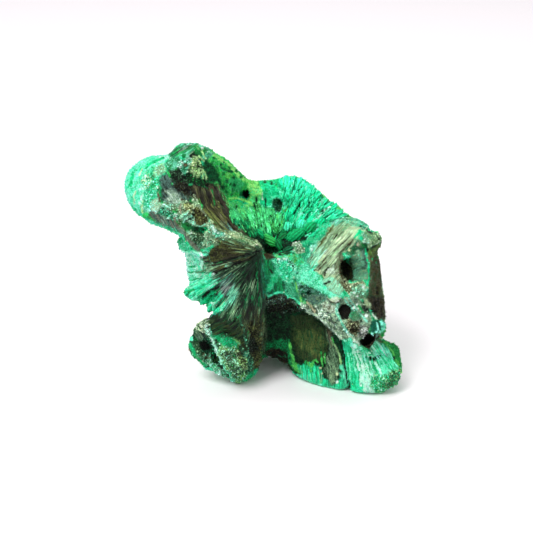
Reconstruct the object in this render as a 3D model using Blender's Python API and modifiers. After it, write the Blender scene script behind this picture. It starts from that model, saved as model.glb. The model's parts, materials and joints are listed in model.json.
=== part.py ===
"""A fibrous malachite specimen: one solid, grown as one piece.

The stone stands on worn flats at Z = 0.  +X is to its right, +Y to its back.
Places and sizes below are millimetres; the model itself is built in metres.
Each form is a skin pulled tight over a few balls, given as (x, y, z, radius).
"""

import math

import bmesh
import bpy
from mathutils import Matrix, Vector, noise

MM = 0.001
NAME = "malachite"

VOXEL = 0.7            # grid of the union of all the forms
FACE_BUDGET = 9500     # triangles kept in the finished solid
LUMP_SIZE = 6.0        # spacing and height of the lumps on the velvet skin
LUMP_HEIGHT = 1.3
FLUTES = 34            # grooves in a full turn about the apex, and their depth
FLUTE_DEPTH = 0.7
RIBS = 44              # ribs in a full turn about the foot of the bowl, and their height
RIB_HEIGHT = 0.5

APEX = (-1.4, -14.0, 49.2)         # the point from which the front fibres radiate
BOWL_FOOT = (5.4, 2.0, 37.0)     # the point from which the ribs of the bowl fan out

# Masses: one skin over all the balls of an entry
HULLS = {
    "club_end": ((-32.2, -4.0, 65.6, 9.8), (-30.0, -4.0, 62.4, 8.8), (-25.2, -6.0, 61.0, 8.4),
                 (-21.2, -5.0, 62.8, 8.0)),
    "club_neck": ((-25.2, -6.0, 61.0, 8.4), (-19.8, -6.0, 61.6, 7.6), (-14.8, -8.0, 56.4, 5.6),
                  (-16.0, -8.0, 52.2, 4.0)),
    "crest": ((-14.8, -8.0, 56.4, 5.6), (-9.0, -10.0, 51.4, 3.4), (-16.0, -8.0, 50.6, 4.0),
              (-2.0, -13.6, 49.0, 1.0)),
    "crest_back": ((-15.4, -3.0, 55.6, 5.0), (-9.2, -5.0, 49.2, 4.0), (-3.8, -7.0, 45.8, 3.0),
                   (-13.6, 3.0, 54.2, 5.0), (-5.6, 4.0, 44.4, 5.0)),
    "knob": ((-23.6, -2.0, 73.4, 5.4), (-19.6, 0.0, 72.0, 5.2), (-21.0, -3.0, 66.4, 6.0),
             (-25.6, -3.0, 68.4, 6.0)),
    "knob_back": ((-19.6, 0.0, 72.0, 5.2), (-16.0, 7.0, 66.6, 4.4), (-17.6, 3.0, 63.6, 6.0),
                  (-23.0, 4.0, 66.8, 7.0)),
    "wing": ((-11.2, 0.0, 43.2, 5.0), (-22.6, 4.0, 40.8, 2.0), (-22.8, 4.0, 36.0, 2.0),
             (-22.2, 3.0, 32.8, 2.0), (-13.6, -1.0, 35.6, 3.0)),
    "facet": ((-2.0, -13.6, 49.0, 1.0), (-19.4, -8.0, 46.2, 1.8), (-15.8, -10.0, 41.2, 1.6),
              (-14.6, -6.0, 49.6, 3.0), (-11.2, 2.0, 40.2, 6.0)),
    "fan": ((-1.4, -13.6, 48.4, 1.0), (-16.0, -7.0, 36.6, 2.4), (-12.2, -9.0, 30.6, 2.6),
            (-7.2, -9.0, 25.2, 2.6), (-2.0, -9.0, 29.6, 2.0), (-1.4, -11.6, 39.0, 1.4),
            (-6.6, 2.0, 29.4, 6.0)),
    "column": ((-11.6, -9.0, 31.2, 2.6), (-2.6, -8.0, 24.6, 2.4), (-16.0, -9.0, 23.8, 2.4),
               (-4.2, -3.0, 8.2, 2.6), (-8.4, -3.6, 3.6, 2.4), (-7.2, 3.0, 11.6, 5.0)),
    "tube": ((-16.8, -11.0, 23.0, 2.4), (-21.2, -6.0, 18.2, 2.4), (-22.0, -4.0, 12.0, 2.4),
             (-18.4, -4.0, 7.8, 2.4), (-13.4, -4.0, 4.6, 2.4), (-9.0, -4.0, 3.4, 2.4),
             (-10.4, -11.0, 11.0, 2.4), (-13.6, -13.0, 18.0, 2.4), (-4.6, -4.0, 11.6, 3.0),
             (-8.2, -2.0, 17.6, 4.0)),
    "tube_heel": ((-8.4, -3.0, 3.6, 3.6), (-6.6, 1.0, 3.6, 4.2), (-10.0, -2.0, 5.6, 3.8),
                  (-7.2, 2.0, 8.4, 4.0)),
    "bridge": ((0.2, -11.6, 45.8, 1.6), (8.8, -7.0, 45.6, 2.0), (1.0, -8.4, 32.0, 2.0),
               (9.6, -9.6, 31.8, 1.6), (11.0, -8.4, 40.2, 2.0), (5.8, 2.0, 34.6, 6.0)),
    "saddle": ((9.6, -5.0, 45.6, 2.0), (16.8, -2.0, 47.0, 3.0), (21.6, 0.0, 44.8, 4.0),
               (13.8, -7.0, 43.0, 2.6), (11.0, -6.0, 39.8, 3.0), (10.4, 2.0, 39.0, 5.0)),
    "hood": ((30.0, -4.0, 46.8, 3.0), (25.4, -2.0, 48.4, 3.4), (19.2, -5.0, 46.4, 3.0),
             (14.0, -10.0, 40.2, 2.6), (11.6, -10.0, 36.0, 1.8), (20.2, -14.0, 34.8, 2.2),
             (25.4, -16.0, 37.4, 2.4), (30.0, -13.6, 39.2, 1.4), (30.2, -11.0, 47.2, 1.2),
             (27.2, 2.0, 39.0, 7.0)),
    "brow": ((32.4, -4.0, 48.6, 2.6), (29.8, -8.0, 50.2, 2.8), (27.4, -8.0, 51.2, 2.6),
             (29.6, -1.0, 48.8, 3.0)),
    "cheek": ((30.6, -9.0, 46.4, 1.4), (32.6, -4.0, 41.6, 1.8), (33.0, -5.0, 37.6, 1.6),
              (33.8, -6.0, 29.8, 2.2), (34.4, -8.0, 24.0, 2.2), (30.0, -15.0, 27.4, 2.0),
              (25.6, -15.0, 34.0, 2.0), (28.6, 2.0, 26.0, 6.0), (29.8, 0.0, 18.2, 5.0)),
    "ridge": ((9.0, -9.0, 31.2, 1.6), (14.4, -11.0, 30.4, 2.0), (19.2, -13.0, 29.8, 2.8),
              (23.8, -16.0, 27.8, 4.0)),
    "snout": ((23.0, -15.0, 28.0, 4.0), (28.6, -17.0, 27.6, 3.4), (34.2, -12.0, 21.8, 2.2),
              (24.6, -15.0, 22.4, 2.4), (29.6, -14.0, 18.0, 1.6), (32.4, -12.0, 18.0, 1.4),
              (29.6, -4.0, 18.6, 5.0)),
    "ridge_root": ((9.0, -9.0, 31.2, 1.6), (19.2, -13.0, 29.8, 2.8), (10.2, -4.0, 31.6, 4.0),
                   (22.6, -4.0, 27.2, 5.0)),
    "nose_top": ((31.8, -9.0, 14.2, 3.6), (35.4, -8.0, 13.6, 3.0), (29.6, -8.0, 13.0, 3.2),
                 (33.2, 0.0, 8.8, 5.0)),
    "nose": ((32.0, -9.0, 10.0, 3.2), (36.4, -9.0, 6.8, 5.6), (28.4, -9.0, 3.0, 3.4),
             (26.8, -6.0, 12.0, 2.8), (34.8, -9.0, 2.2, 3.0), (38.2, -2.0, 9.2, 3.8),
             (34.4, 2.0, 5.6, 4.2)),
}

# Arms: one skin over each pair of neighbouring balls
CHAINS = {
    "finger_top": ((-11.8, 0.0, 45.8, 5.0), (-20.4, 3.0, 45.8, 4.0), (-24.8, 4.0, 44.4, 2.6)),
    "finger_main": ((-10.0, -3.0, 39.2, 3.0), (-18.4, -1.0, 32.2, 3.2), (-22.2, 0.0, 29.4, 2.8)),
    "finger_low": ((-9.4, -4.0, 34.2, 2.6), (-17.8, -1.0, 26.4, 2.0)),
    "finger_last": ((-8.8, -4.0, 31.6, 2.4), (-16.0, -2.0, 25.2, 1.6)),
    "club_ledge": ((-24.0, -14.0, 61.4, 2.0), (-22.4, -13.0, 57.8, 2.2),
                   (-23.2, -11.0, 53.0, 2.0), (-21.2, -10.0, 49.2, 2.0), (-18.8, -9.0, 46.4, 2.0)),
    "crest_roll": ((-15.0, -12.0, 53.6, 1.6), (-10.2, -12.4, 51.4, 1.4),
                   (-5.4, -12.8, 50.4, 1.2), (-1.6, -13.8, 49.2, 1.0)),
    "brow_roll": ((31.8, -3.0, 49.8, 2.0), (27.0, -4.0, 49.8, 2.4), (20.8, -7.0, 48.2, 2.2),
                  (15.4, -11.0, 43.4, 1.8)),
    "bowl_buds": ((-0.8, 2.4, 44.4, 1.8), (1.6, 4.6, 44.8, 2.4), (4.4, 3.0, 44.2, 2.4),
                  (7.8, 5.0, 45.0, 2.8), (11.0, 6.0, 46.0, 2.6), (13.8, 7.2, 47.4, 2.4),
                  (16.0, 7.6, 48.0, 2.0)),
    "bowl_buds_low": ((6.6, 1.0, 43.8, 2.2), (10.2, 2.4, 44.8, 2.4), (14.0, 4.4, 46.0, 2.2)),
    "snout_nodule": ((31.2, -18.0, 25.8, 1.8), (33.2, -16.0, 25.6, 1.8)),
}

# Walls: rows of balls; every four neighbours carry one skin
WALLS = {
    "bowl": (
        ((-17.8, 6.0, 67.6, 4.0), (-15.0, 9.0, 67.2, 3.6), (-11.0, 12.0, 62.8, 3.2),
         (-6.4, 15.0, 57.6, 3.0), (-1.4, 17.0, 56.8, 3.0), (2.6, 17.0, 56.6, 3.0),
         (6.2, 18.0, 57.6, 3.2), (9.6, 18.0, 57.2, 3.2), (14.0, 16.0, 54.6, 3.0),
         (18.6, 14.0, 51.4, 3.0), (23.8, 11.0, 48.2, 3.0), (29.2, 8.0, 46.8, 3.0)),
        ((-17.8, 5.0, 61.6, 5.0), (-15.0, 10.0, 59.0, 4.0), (-11.4, 13.0, 54.4, 4.0),
         (-6.4, 15.0, 50.0, 4.0), (-1.8, 16.0, 48.2, 4.0), (2.6, 16.4, 47.4, 4.0),
         (6.4, 17.0, 47.8, 4.0), (10.0, 16.4, 48.4, 4.0), (14.2, 14.4, 47.4, 4.0),
         (18.6, 12.0, 46.2, 4.0), (23.2, 9.0, 44.4, 4.0), (28.2, 5.0, 44.0, 4.0)),
        ((-16.6, 2.0, 57.8, 5.0), (-13.6, 3.0, 55.2, 5.0), (-9.6, 4.0, 50.0, 5.0),
         (-5.8, 5.0, 45.0, 5.0), (-1.8, 6.0, 41.2, 5.0), (2.0, 6.4, 39.6, 5.0),
         (5.8, 6.4, 39.6, 5.0), (9.4, 6.0, 41.2, 5.0), (13.4, 5.0, 43.0, 5.0),
         (17.4, 4.0, 44.4, 4.4), (21.6, 2.0, 44.0, 4.0), (26.0, -1.0, 43.6, 4.0)),
    ),
    "recess": (
        ((-1.4, -2.0, 28.6, 3.0), (4.8, 0.0, 27.0, 3.0), (11.0, 1.0, 24.4, 3.0),
         (17.2, 0.0, 21.4, 3.0), (22.8, -4.0, 18.6, 3.0)),
        ((-1.4, 1.0, 17.8, 3.0), (4.2, 3.0, 15.8, 3.0), (10.6, 3.0, 13.2, 3.0),
         (17.4, 0.0, 11.2, 3.0), (23.2, -5.0, 9.2, 2.6)),
        ((-1.4, 2.0, 10.2, 3.0), (4.6, 4.0, 10.4, 3.0), (10.0, 0.0, 3.4, 2.6),
         (17.2, -5.0, 1.8, 2.4), (23.6, -8.0, 2.4, 2.4)),
    ),
}

# Hollows: a skin cut out of the stone
HOLLOWS = {
    "eye": ((23.2, -24.0, 50.4, 2.0), (23.4, -24.0, 46.6, 2.0), (28.6, -22.0, 51.2, 1.0),
            (29.0, -22.0, 44.8, 1.0), (23.2, -8.0, 42.6, 1.4), (23.4, -8.0, 39.8, 1.4),
            (28.6, -12.6, 47.0, 0.8), (29.0, -13.2, 40.8, 0.8)),
    "tube_mouth": ((-26.6, -17.0, 26.4, 4.0), (-21.4, -17.0, 11.8, 4.0),
                   (-20.4, -9.0, 20.0, 2.8), (-17.2, -9.0, 11.0, 2.6), (-14.2, -4.0, 14.4, 2.0),
                   (-12.4, -4.0, 10.2, 2.0)),
    "ridge_pit": ((22.8, -24.0, 34.8, 2.0), (23.6, -14.0, 29.6, 1.4)),
    "ridge_pit_low": ((26.6, -24.0, 28.2, 1.4), (27.2, -17.0, 24.6, 1.2)),
    "snout_hollow": ((30.0, -24.0, 25.2, 2.2), (30.6, -12.0, 19.4, 1.6), (28.0, -24.0, 25.6, 1.6)),
    "bowl_pit": ((-6.2, 6.0, 59.2, 2.0), (-6.4, 16.0, 55.0, 1.0)),
    "bowl_pit_small": ((3.6, 8.0, 55.8, 1.6), (3.6, 16.0, 52.0, 1.0)),
    "brow_gap": ((30.4, -6.0, 53.6, 1.0), (30.6, 5.0, 48.6, 1.0)),
    "lip_gap": ((12.6, -16.0, 37.4, 1.4), (13.0, -6.0, 32.4, 1.0)),
    "club_pit": ((-20.6, -24.0, 64.4, 1.6), (-21.4, -12.0, 59.2, 1.2)),
    "club_pit_low": ((-19.2, -22.0, 59.0, 1.6), (-19.8, -10.0, 54.0, 1.2)),
    "bridge_pit": ((7.2, -16.0, 46.8, 1.2), (7.4, -7.0, 43.0, 0.8)),
}

# Where each kind of surface rules: centre and reach
ZONES = {
    "velvet": ((-37.2, -8.0, 66.6, 12.0), (-34.8, -6.0, 57.8, 9.0), (-12.6, 10.0, 64.4, 7.0),
               (-1.4, 17.0, 59.6, 5.0), (10.4, 18.0, 58.2, 6.0), (0.0, 24.0, 52.0, 20.0),
               (8.0, 28.0, 30.0, 26.0), (4.0, 26.0, 8.0, 22.0), (-26.0, 10.0, 66.0, 14.0),
               (-20.0, 14.0, 40.0, 14.0), (38.0, 14.0, 20.0, 14.0)),
    "fibre": ((-8.6, -10.0, 36.6, 12.0), (-5.0, -9.0, 24.4, 9.0), (-10.4, -10.0, 44.2, 9.0),
              (23.6, -6.0, 48.0, 7.0)),
    "crust": ((-23.0, -6.0, 74.2, 8.0), (-20.8, -12.0, 57.0, 9.0), (-13.6, -12.0, 15.0, 10.0),
              (23.6, -17.0, 26.6, 11.0), (23.4, -16.0, 34.4, 7.0), (-26.8, -12.0, 66.4, 8.0)),
    "ribbed": ((-5.2, 12.0, 53.8, 9.0), (2.6, 14.0, 51.4, 10.0), (12.0, 13.0, 50.0, 11.0),
               (20.2, 8.0, 47.8, 8.0)),
    "plain": ((21.0, 4.0, 45.4, 7.0), (-22.0, 2.0, 36.2, 9.0), (34.6, -8.0, 6.6, 12.0),
              (5.6, -8.0, 39.0, 10.0), (10.6, 2.0, 12.0, 14.0), (33.0, -6.0, 33.2, 9.0),
              (27.2, -12.0, 44.2, 6.0)),
}

# The middle and the hidden back
CORE = ((-6.0, 12.0, 38.0, 6.0), (10.0, 15.0, 36.0, 7.0), (24.0, 9.0, 34.0, 7.0),
        (-8.0, 10.0, 20.0, 7.0), (12.0, 14.0, 12.0, 8.0), (27.0, 6.0, 14.0, 7.0))
ROOT = ((-10.0, 5.0, 28.0, 6.0), (-10.0, 4.0, 14.0, 5.0), (-6.0, 12.0, 22.0, 6.0),
        (-5.0, 0.0, 25.0, 6.0))
BACK_MASS = ((-7.0, 15.0, 52.0, 4.0), (12.0, 19.0, 50.0, 4.0), (24.0, 12.0, 40.0, 4.0),
             (-12.0, 12.0, 40.0, 5.0), (9.0, 22.0, 36.0, 6.0), (-9.0, 17.0, 24.0, 6.0),
             (14.0, 21.0, 20.0, 7.0), (27.0, 13.0, 20.0, 6.0), (-6.0, 14.0, 12.0, 6.0),
             (12.0, 18.0, 10.0, 6.0), (26.0, 10.0, 12.0, 6.0))
BACK_LUMPS = (
    (-8.0, 18.0, 53.0, 4.6), (1.5, 20.5, 50.5, 5.6), (12.0, 21.0, 50.0, 6.2),
    (20.5, 16.5, 44.5, 5.4), (26.5, 11.0, 39.5, 4.8),
    (-12.5, 13.5, 44.0, 6.6), (-2.0, 21.0, 40.5, 7.2), (10.0, 24.5, 38.5, 6.4),
    (19.5, 20.5, 33.5, 7.4), (29.0, 13.0, 31.0, 5.6),
    (-15.0, 10.5, 32.0, 6.4), (-7.5, 19.5, 29.0, 6.2), (3.0, 24.0, 27.5, 8.4),
    (14.0, 25.0, 22.0, 6.0), (26.5, 16.5, 20.0, 7.0),
    (-11.5, 11.5, 19.5, 5.6), (-4.0, 20.0, 16.5, 6.8), (6.5, 22.5, 13.0, 6.2),
    (19.0, 19.5, 11.5, 7.2), (30.5, 8.5, 13.0, 5.8),
    (-7.0, 13.5, 5.0, 5.9), (6.5, 18.5, 5.0, 6.0), (20.5, 15.0, 4.8, 5.8),
    (-27.0, 5.0, 66.5, 6.4), (-19.0, 8.5, 61.0, 6.2), (-13.5, 13.0, 58.5, 5.0),
)


def clear_scene():
    for obj in list(bpy.data.objects):
        bpy.data.objects.remove(obj, do_unlink=True)


def to_mesh(obj, name):
    """The object with its modifiers applied, as a plain mesh."""
    bpy.context.view_layer.update()
    graph = bpy.context.evaluated_depsgraph_get()
    mesh = bpy.data.meshes.new_from_object(obj.evaluated_get(graph))
    made = bpy.data.objects.new(name, mesh)
    bpy.context.scene.collection.objects.link(made)
    bpy.data.objects.remove(obj, do_unlink=True)
    made.name = name
    return made


def add_skin(shape, balls):
    """Pull one tight skin over a few balls and add it to the shape."""
    skin = bmesh.new()
    for x, y, z, radius in balls:
        at = Matrix.Translation(Vector((x, y, z)) * MM)
        bmesh.ops.create_icosphere(skin, subdivisions=3, radius=radius * MM, matrix=at)
    hull = bmesh.ops.convex_hull(skin, input=skin.verts, use_existing_faces=False)
    loose = {item for key in ("geom_interior", "geom_unused") for item in hull[key]}
    bmesh.ops.delete(skin, geom=[v for v in loose if isinstance(v, bmesh.types.BMVert)],
                     context="VERTS")
    inside = [face for face in skin.faces if face not in hull["geom"]]
    bmesh.ops.delete(skin, geom=[f for f in inside if f.is_valid], context="FACES_ONLY")
    mesh = bpy.data.meshes.new("skin")
    skin.to_mesh(mesh)
    skin.free()
    shape.from_mesh(mesh)
    bpy.data.meshes.remove(mesh)


def new_object(shape, name):
    mesh = bpy.data.meshes.new(name)
    shape.to_mesh(mesh)
    shape.free()
    obj = bpy.data.objects.new(name, mesh)
    bpy.context.scene.collection.objects.link(obj)
    return obj


def all_forms():
    shape = bmesh.new()
    for balls in (*HULLS.values(), CORE, ROOT, BACK_MASS):
        add_skin(shape, balls)
    for lump in BACK_LUMPS:
        add_skin(shape, (lump,))
    for balls in CHAINS.values():
        for pair in zip(balls, balls[1:]):
            add_skin(shape, pair)
    for rows in WALLS.values():
        for upper, lower in zip(rows, rows[1:]):
            for i in range(len(upper) - 1):
                add_skin(shape, (*upper[i:i + 2], *lower[i:i + 2]))
    return new_object(shape, NAME)


def all_hollows():
    shape = bmesh.new()
    for balls in HOLLOWS.values():
        add_skin(shape, balls)
    cutter = new_object(shape, "hollows")
    cutter.hide_render = True
    cutter.display_type = "WIRE"
    return cutter


def remeshed(obj, size):
    remesh = obj.modifiers.new("union", "REMESH")
    remesh.mode = "VOXEL"
    remesh.voxel_size = size * MM
    return to_mesh(obj, NAME)


def cut(obj, cutter):
    hollow = obj.modifiers.new("cut", "BOOLEAN")
    hollow.operation = "DIFFERENCE"
    hollow.solver = "EXACT"
    hollow.object = cutter
    return to_mesh(obj, NAME)


def rule(kind, place):
    """How strongly one kind of surface holds at a place, before sharing out."""
    return sum(math.exp(-((place - Vector(zone[:3])).length / zone[3]) ** 2) for zone in ZONES[kind])


def lumps(place):
    """Close-packed domes, 0 in the creases and 1 on the crowns."""
    near = noise.voronoi(place / LUMP_SIZE)[0][0]
    return math.sqrt(max(0.0, 1.0 - (near / 0.9) ** 2))


def grooves(place, centre, count):
    """Grooves that open out from a centre, count of them in a full turn."""
    away = place - Vector(centre)
    turn = math.atan2(away.z, away.x) + 0.05 * noise.noise(place * 0.25)
    ramp = min(1.0, max(0.0, (math.hypot(away.x, away.z) - 4.0) / 14.0))
    return ramp * (abs(math.sin(turn * count / 2.0)) - 0.5)


def relief(obj):
    """Move the points of the stone out and in along their normals."""
    mesh = obj.data
    for vert, normal in [(v, v.normal.copy()) for v in mesh.vertices]:
        place = vert.co / MM
        shares = {kind: rule(kind, place) + 0.0001 for kind in ZONES}
        total = sum(shares.values())
        rise = 0.35 * noise.fractal(place * 0.2, 1.0, 2.0, 2)
        rise += shares["velvet"] / total * LUMP_HEIGHT * (lumps(place) - 0.6)
        rise += shares["fibre"] / total * FLUTE_DEPTH * grooves(place, APEX, FLUTES)
        rise += shares["ribbed"] / total * RIB_HEIGHT * grooves(place, BOWL_FOOT, RIBS)
        rise += shares["crust"] / total * 0.8 * noise.fractal(place * 0.3, 0.8, 2.0, 2)
        vert.co += normal * rise * MM


def thinned(obj):
    count = sum(len(face.vertices) - 2 for face in obj.data.polygons)
    thin = obj.modifiers.new("thin", "DECIMATE")
    thin.ratio = FACE_BUDGET / count
    thin.use_collapse_triangulate = True
    return to_mesh(obj, NAME)


def centred(obj):
    """Put the origin on the floor under the middle of the stone's box."""
    xs = [vert.co.x for vert in obj.data.vertices]
    ys = [vert.co.y for vert in obj.data.vertices]
    middle = Vector(((min(xs) + max(xs)) / 2, (min(ys) + max(ys)) / 2, 0.0))
    obj.data.transform(Matrix.Translation(-middle))
    print("moved by", [round(-c / MM, 3) for c in middle], "mm")


def floor_block():
    """The block below Z = 0 that planes the worn feet flat."""
    bpy.ops.mesh.primitive_cube_add(size=0.2, location=(0.0, 0.0, -0.1))
    block = bpy.context.object
    block.name = "floor_block"
    block.hide_render = True
    block.display_type = "WIRE"
    return block


def material():
    stone = bpy.data.materials.new("malachite_stone")
    stone.use_nodes = True
    shader = stone.node_tree.nodes["Principled BSDF"]
    shader.inputs["Base Color"].default_value = (0.02, 0.42, 0.2, 1.0)
    shader.inputs["Roughness"].default_value = 0.75
    shader.inputs["Metallic"].default_value = 0.0
    return stone


def collection(name, objects):
    group = bpy.data.collections.new(name)
    bpy.context.scene.collection.children.link(group)
    for obj in objects:
        for other in list(obj.users_collection):
            other.objects.unlink(obj)
        group.objects.link(obj)


def main():
    clear_scene()
    stone = remeshed(all_forms(), VOXEL)
    hollows = all_hollows()
    stone = remeshed(cut(stone, hollows), VOXEL)
    relief(stone)
    stone = thinned(stone)
    block = floor_block()
    stone = cut(stone, block)
    centred(stone)
    stone.data.materials.clear()
    stone.data.materials.append(material())
    collection("malachite_specimen", (stone,))
    collection("cutters", (hollows, block))


main()
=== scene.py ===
import itertools
import json
import math
import bpy
import numpy as np
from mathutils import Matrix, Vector
from mathutils.bvhtree import BVHTree

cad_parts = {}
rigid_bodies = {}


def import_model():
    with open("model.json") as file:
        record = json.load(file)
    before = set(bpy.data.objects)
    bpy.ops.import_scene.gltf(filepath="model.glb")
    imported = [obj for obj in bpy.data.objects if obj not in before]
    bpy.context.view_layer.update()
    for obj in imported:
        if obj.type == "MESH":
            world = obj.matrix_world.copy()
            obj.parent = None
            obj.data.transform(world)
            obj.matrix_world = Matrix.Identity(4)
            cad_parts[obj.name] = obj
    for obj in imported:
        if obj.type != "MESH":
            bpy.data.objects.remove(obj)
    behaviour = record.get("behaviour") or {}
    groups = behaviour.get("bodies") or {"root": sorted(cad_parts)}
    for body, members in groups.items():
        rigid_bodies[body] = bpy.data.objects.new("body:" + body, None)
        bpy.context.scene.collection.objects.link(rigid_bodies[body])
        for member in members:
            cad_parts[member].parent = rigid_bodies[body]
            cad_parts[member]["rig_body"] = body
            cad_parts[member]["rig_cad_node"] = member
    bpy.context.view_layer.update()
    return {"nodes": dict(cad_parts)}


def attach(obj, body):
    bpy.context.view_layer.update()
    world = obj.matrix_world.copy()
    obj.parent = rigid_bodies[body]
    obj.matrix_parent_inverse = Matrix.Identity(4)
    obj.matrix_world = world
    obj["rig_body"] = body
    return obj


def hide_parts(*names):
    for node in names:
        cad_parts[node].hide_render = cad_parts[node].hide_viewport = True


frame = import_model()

mm = 0.001

viewFrom = {
    "target": (-0.00006, -0.00579, 0.0383),
    "elevation": 24.0,
    "distance": 0.454,
    "lens": 99.9,
    "sensor": 36.0,
    "nearest": 0.01,
    "pixels": 533,
}
studio = {
    "floorSize": 3.0,
    "floorColour": (0.885, 0.84, 0.867),
    "floorRoughness": 0.9,
    "world": 0.6,
    "key": {"at": (-0.35, -0.45, 0.75), "size": 0.4, "power": 7.6},
    "fill": {"at": (0.6, -0.5, 0.35), "size": 0.6, "power": 0.8},
    "top": {"at": (0.05, 0.15, 0.8), "size": 0.5, "power": 2.5},
}

slope = math.radians(viewFrom["elevation"])
aim = np.array((0.0, math.cos(slope), -math.sin(slope)))
upward = np.array((0.0, math.sin(slope), math.cos(slope)))
eye = np.array(viewFrom["target"]) - aim * viewFrom["distance"]
pixelsPerTangent = viewFrom["lens"] / viewFrom["sensor"] * viewFrom["pixels"]
middlePixel = viewFrom["pixels"] / 2


def seenAt(points):  # where points fall in the front view, in its pixels
    away = points - eye
    depth = away @ aim
    across = middlePixel + away[:, 0] / depth * pixelsPerTangent
    down = middlePixel - away @ upward / depth * pixelsPerTangent
    return np.stack((across, down), axis=1)


def rayThrough(px):  # direction of the sight line through one pixel of the front view
    side = (px[0] - middlePixel) / pixelsPerTangent
    rise = (middlePixel - px[1]) / pixelsPerTangent
    return Vector(aim + upward * rise + np.array((side, 0, 0))).normalized()


def makeCamera():
    bpy.ops.object.select_all(action="DESELECT")
    bpy.ops.object.camera_add(location=eye, rotation=(math.radians(90) - slope, 0, 0))
    camera = bpy.context.object
    camera.name = "frontCamera"
    camera.data.lens = viewFrom["lens"]
    camera.data.sensor_width = viewFrom["sensor"]
    camera.data.clip_start = viewFrom["nearest"]
    bpy.context.scene.camera = camera


def makeLight(name, place):
    bpy.ops.object.light_add(type="AREA", location=place["at"])
    light = bpy.context.object
    light.name = name
    light.data.size = place["size"]
    light.data.energy = place["power"]
    toStone = Vector(viewFrom["target"]) - Vector(place["at"])
    light.rotation_euler = toStone.to_track_quat("-Z", "Y").to_euler()


def makeStudio():
    world = bpy.data.worlds.new("studioWorld")
    world.use_nodes = True
    world.node_tree.nodes["Background"].inputs["Color"].default_value = (1, 1, 1, 1)
    world.node_tree.nodes["Background"].inputs["Strength"].default_value = studio["world"]
    bpy.context.scene.world = world
    for name in ("key", "fill", "top"):
        makeLight(name + "Light", studio[name])
    bpy.ops.mesh.primitive_plane_add(size=studio["floorSize"], location=(0, 0, 0))
    floor = bpy.context.object
    floor.name = "studioFloor"
    paper = bpy.data.materials.new("floorPaper")
    paper.use_nodes = True
    skin = paper.node_tree.nodes["Principled BSDF"]
    skin.inputs["Base Color"].default_value = (*studio["floorColour"], 1)
    skin.inputs["Roughness"].default_value = studio["floorRoughness"]
    floor.data.materials.append(paper)
    bpy.context.scene.view_settings.view_transform = "Standard"


mixer = {  # large primes and bit masks that scatter cell numbers
    "primes": (73856093, 19349663, 83492791, 15485863),
    "stirs": ((13, 1274126177), (15, 668265263)),
    "whole": 0x7FFFFFFF,
    "kept": 0xFFFFF,
}
octaves = {"growth": 2.03, "fade": 0.55}


def hashed(cell, seed):  # a repeatable number from 0 to 1 for each whole-number cell
    primeX, primeY, primeZ, primeSeed = mixer["primes"]
    n = cell[..., 0] * primeX ^ cell[..., 1] * primeY ^ cell[..., 2] * primeZ ^ seed * primeSeed
    for shift, prime in mixer["stirs"]:
        n = (n ^ (n >> shift)) * prime & mixer["whole"]
    return ((n ^ (n >> mixer["stirs"][0][0])) & mixer["kept"]) / mixer["kept"]


def softNoise(points, seed):  # smooth noise, 0 to 1, one lump a unit
    cell = np.floor(points).astype(np.int64)
    part = points - cell
    part = part * part * (3 - 2 * part)
    total = np.zeros(len(points))
    for corner in itertools.product((0, 1), repeat=3):
        step = np.array(corner)
        weight = np.prod(np.where(step, part, 1 - part), axis=1)
        total += weight * hashed(cell + step, seed)
    return total


def roughNoise(points, seed, times=3):  # soft noise with finer, fainter noise laid over it
    total = np.zeros(len(points))
    weight, allWeights = 1.0, 0.0
    for octave in range(times):
        total += weight * softNoise(points * octaves["growth"] ** octave, seed + octave)
        allWeights += weight
        weight *= octaves["fade"]
    return total / allWeights


def cellNoise(points, seed):  # distance to the nearest and second nearest seed point, one seed a unit
    cell = np.floor(points).astype(np.int64)
    nearest = np.full(len(points), 9.0)
    second = np.full(len(points), 9.0)
    for step in itertools.product((-1, 0, 1), repeat=3):
        here = cell + np.array(step)
        seedPoint = here + np.stack([hashed(here, seed + k) for k in range(3)], axis=1)
        distance = np.linalg.norm(points - seedPoint, axis=1)
        second = np.minimum(second, np.maximum(nearest, distance))
        nearest = np.minimum(nearest, distance)
    return nearest, second


def stretched(values, low, high):  # low..high becomes 0..1, cut off outside
    return np.clip((values - low) / (high - low), 0, 1)


body = {
    "weld": 0.00001,
    "voxel": 0.745,
    "smoothing": 5,
    "frontCuts": 1,
    "frontSmoothing": 3,
    "archMiddle": (275, 353),  # view pixels
    "archReach": (12, 10),
    "archDrop": 2.1,
}
sight = {"leastTurn": 0.15, "clear": 0.15}  # how far a face turns to the eye, and how far off a ray starts


def activate(piece):
    bpy.ops.object.select_all(action="DESELECT")
    piece.select_set(True)
    bpy.context.view_layer.objects.active = piece


def coordinates(mesh):
    flat = np.empty(len(mesh.vertices) * 3)
    mesh.vertices.foreach_get("co", flat)
    return flat.reshape(-1, 3)


def normals(mesh):
    flat = np.empty(len(mesh.vertices) * 3)
    mesh.vertex_normals.foreach_get("vector", flat)
    return flat.reshape(-1, 3)


def treeOf(piece):
    graph = bpy.context.evaluated_depsgraph_get()
    graph.update()
    return BVHTree.FromObject(piece, graph)


def inSight(points, facing, tree):  # 1 for points that nothing hides from the front camera
    shown = np.zeros(len(points))
    for i, (point, normal) in enumerate(zip(points, facing)):
        toEye = eye - point
        if normal @ toEye < sight["leastTurn"] * np.linalg.norm(toEye):
            continue
        toEye /= np.linalg.norm(toEye)
        start = point + normal * sight["clear"] * mm + toEye * sight["clear"] * mm
        if tree.ray_cast(Vector(start), Vector(toEye))[0] is None:
            shown[i] = 1
    return shown


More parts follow.
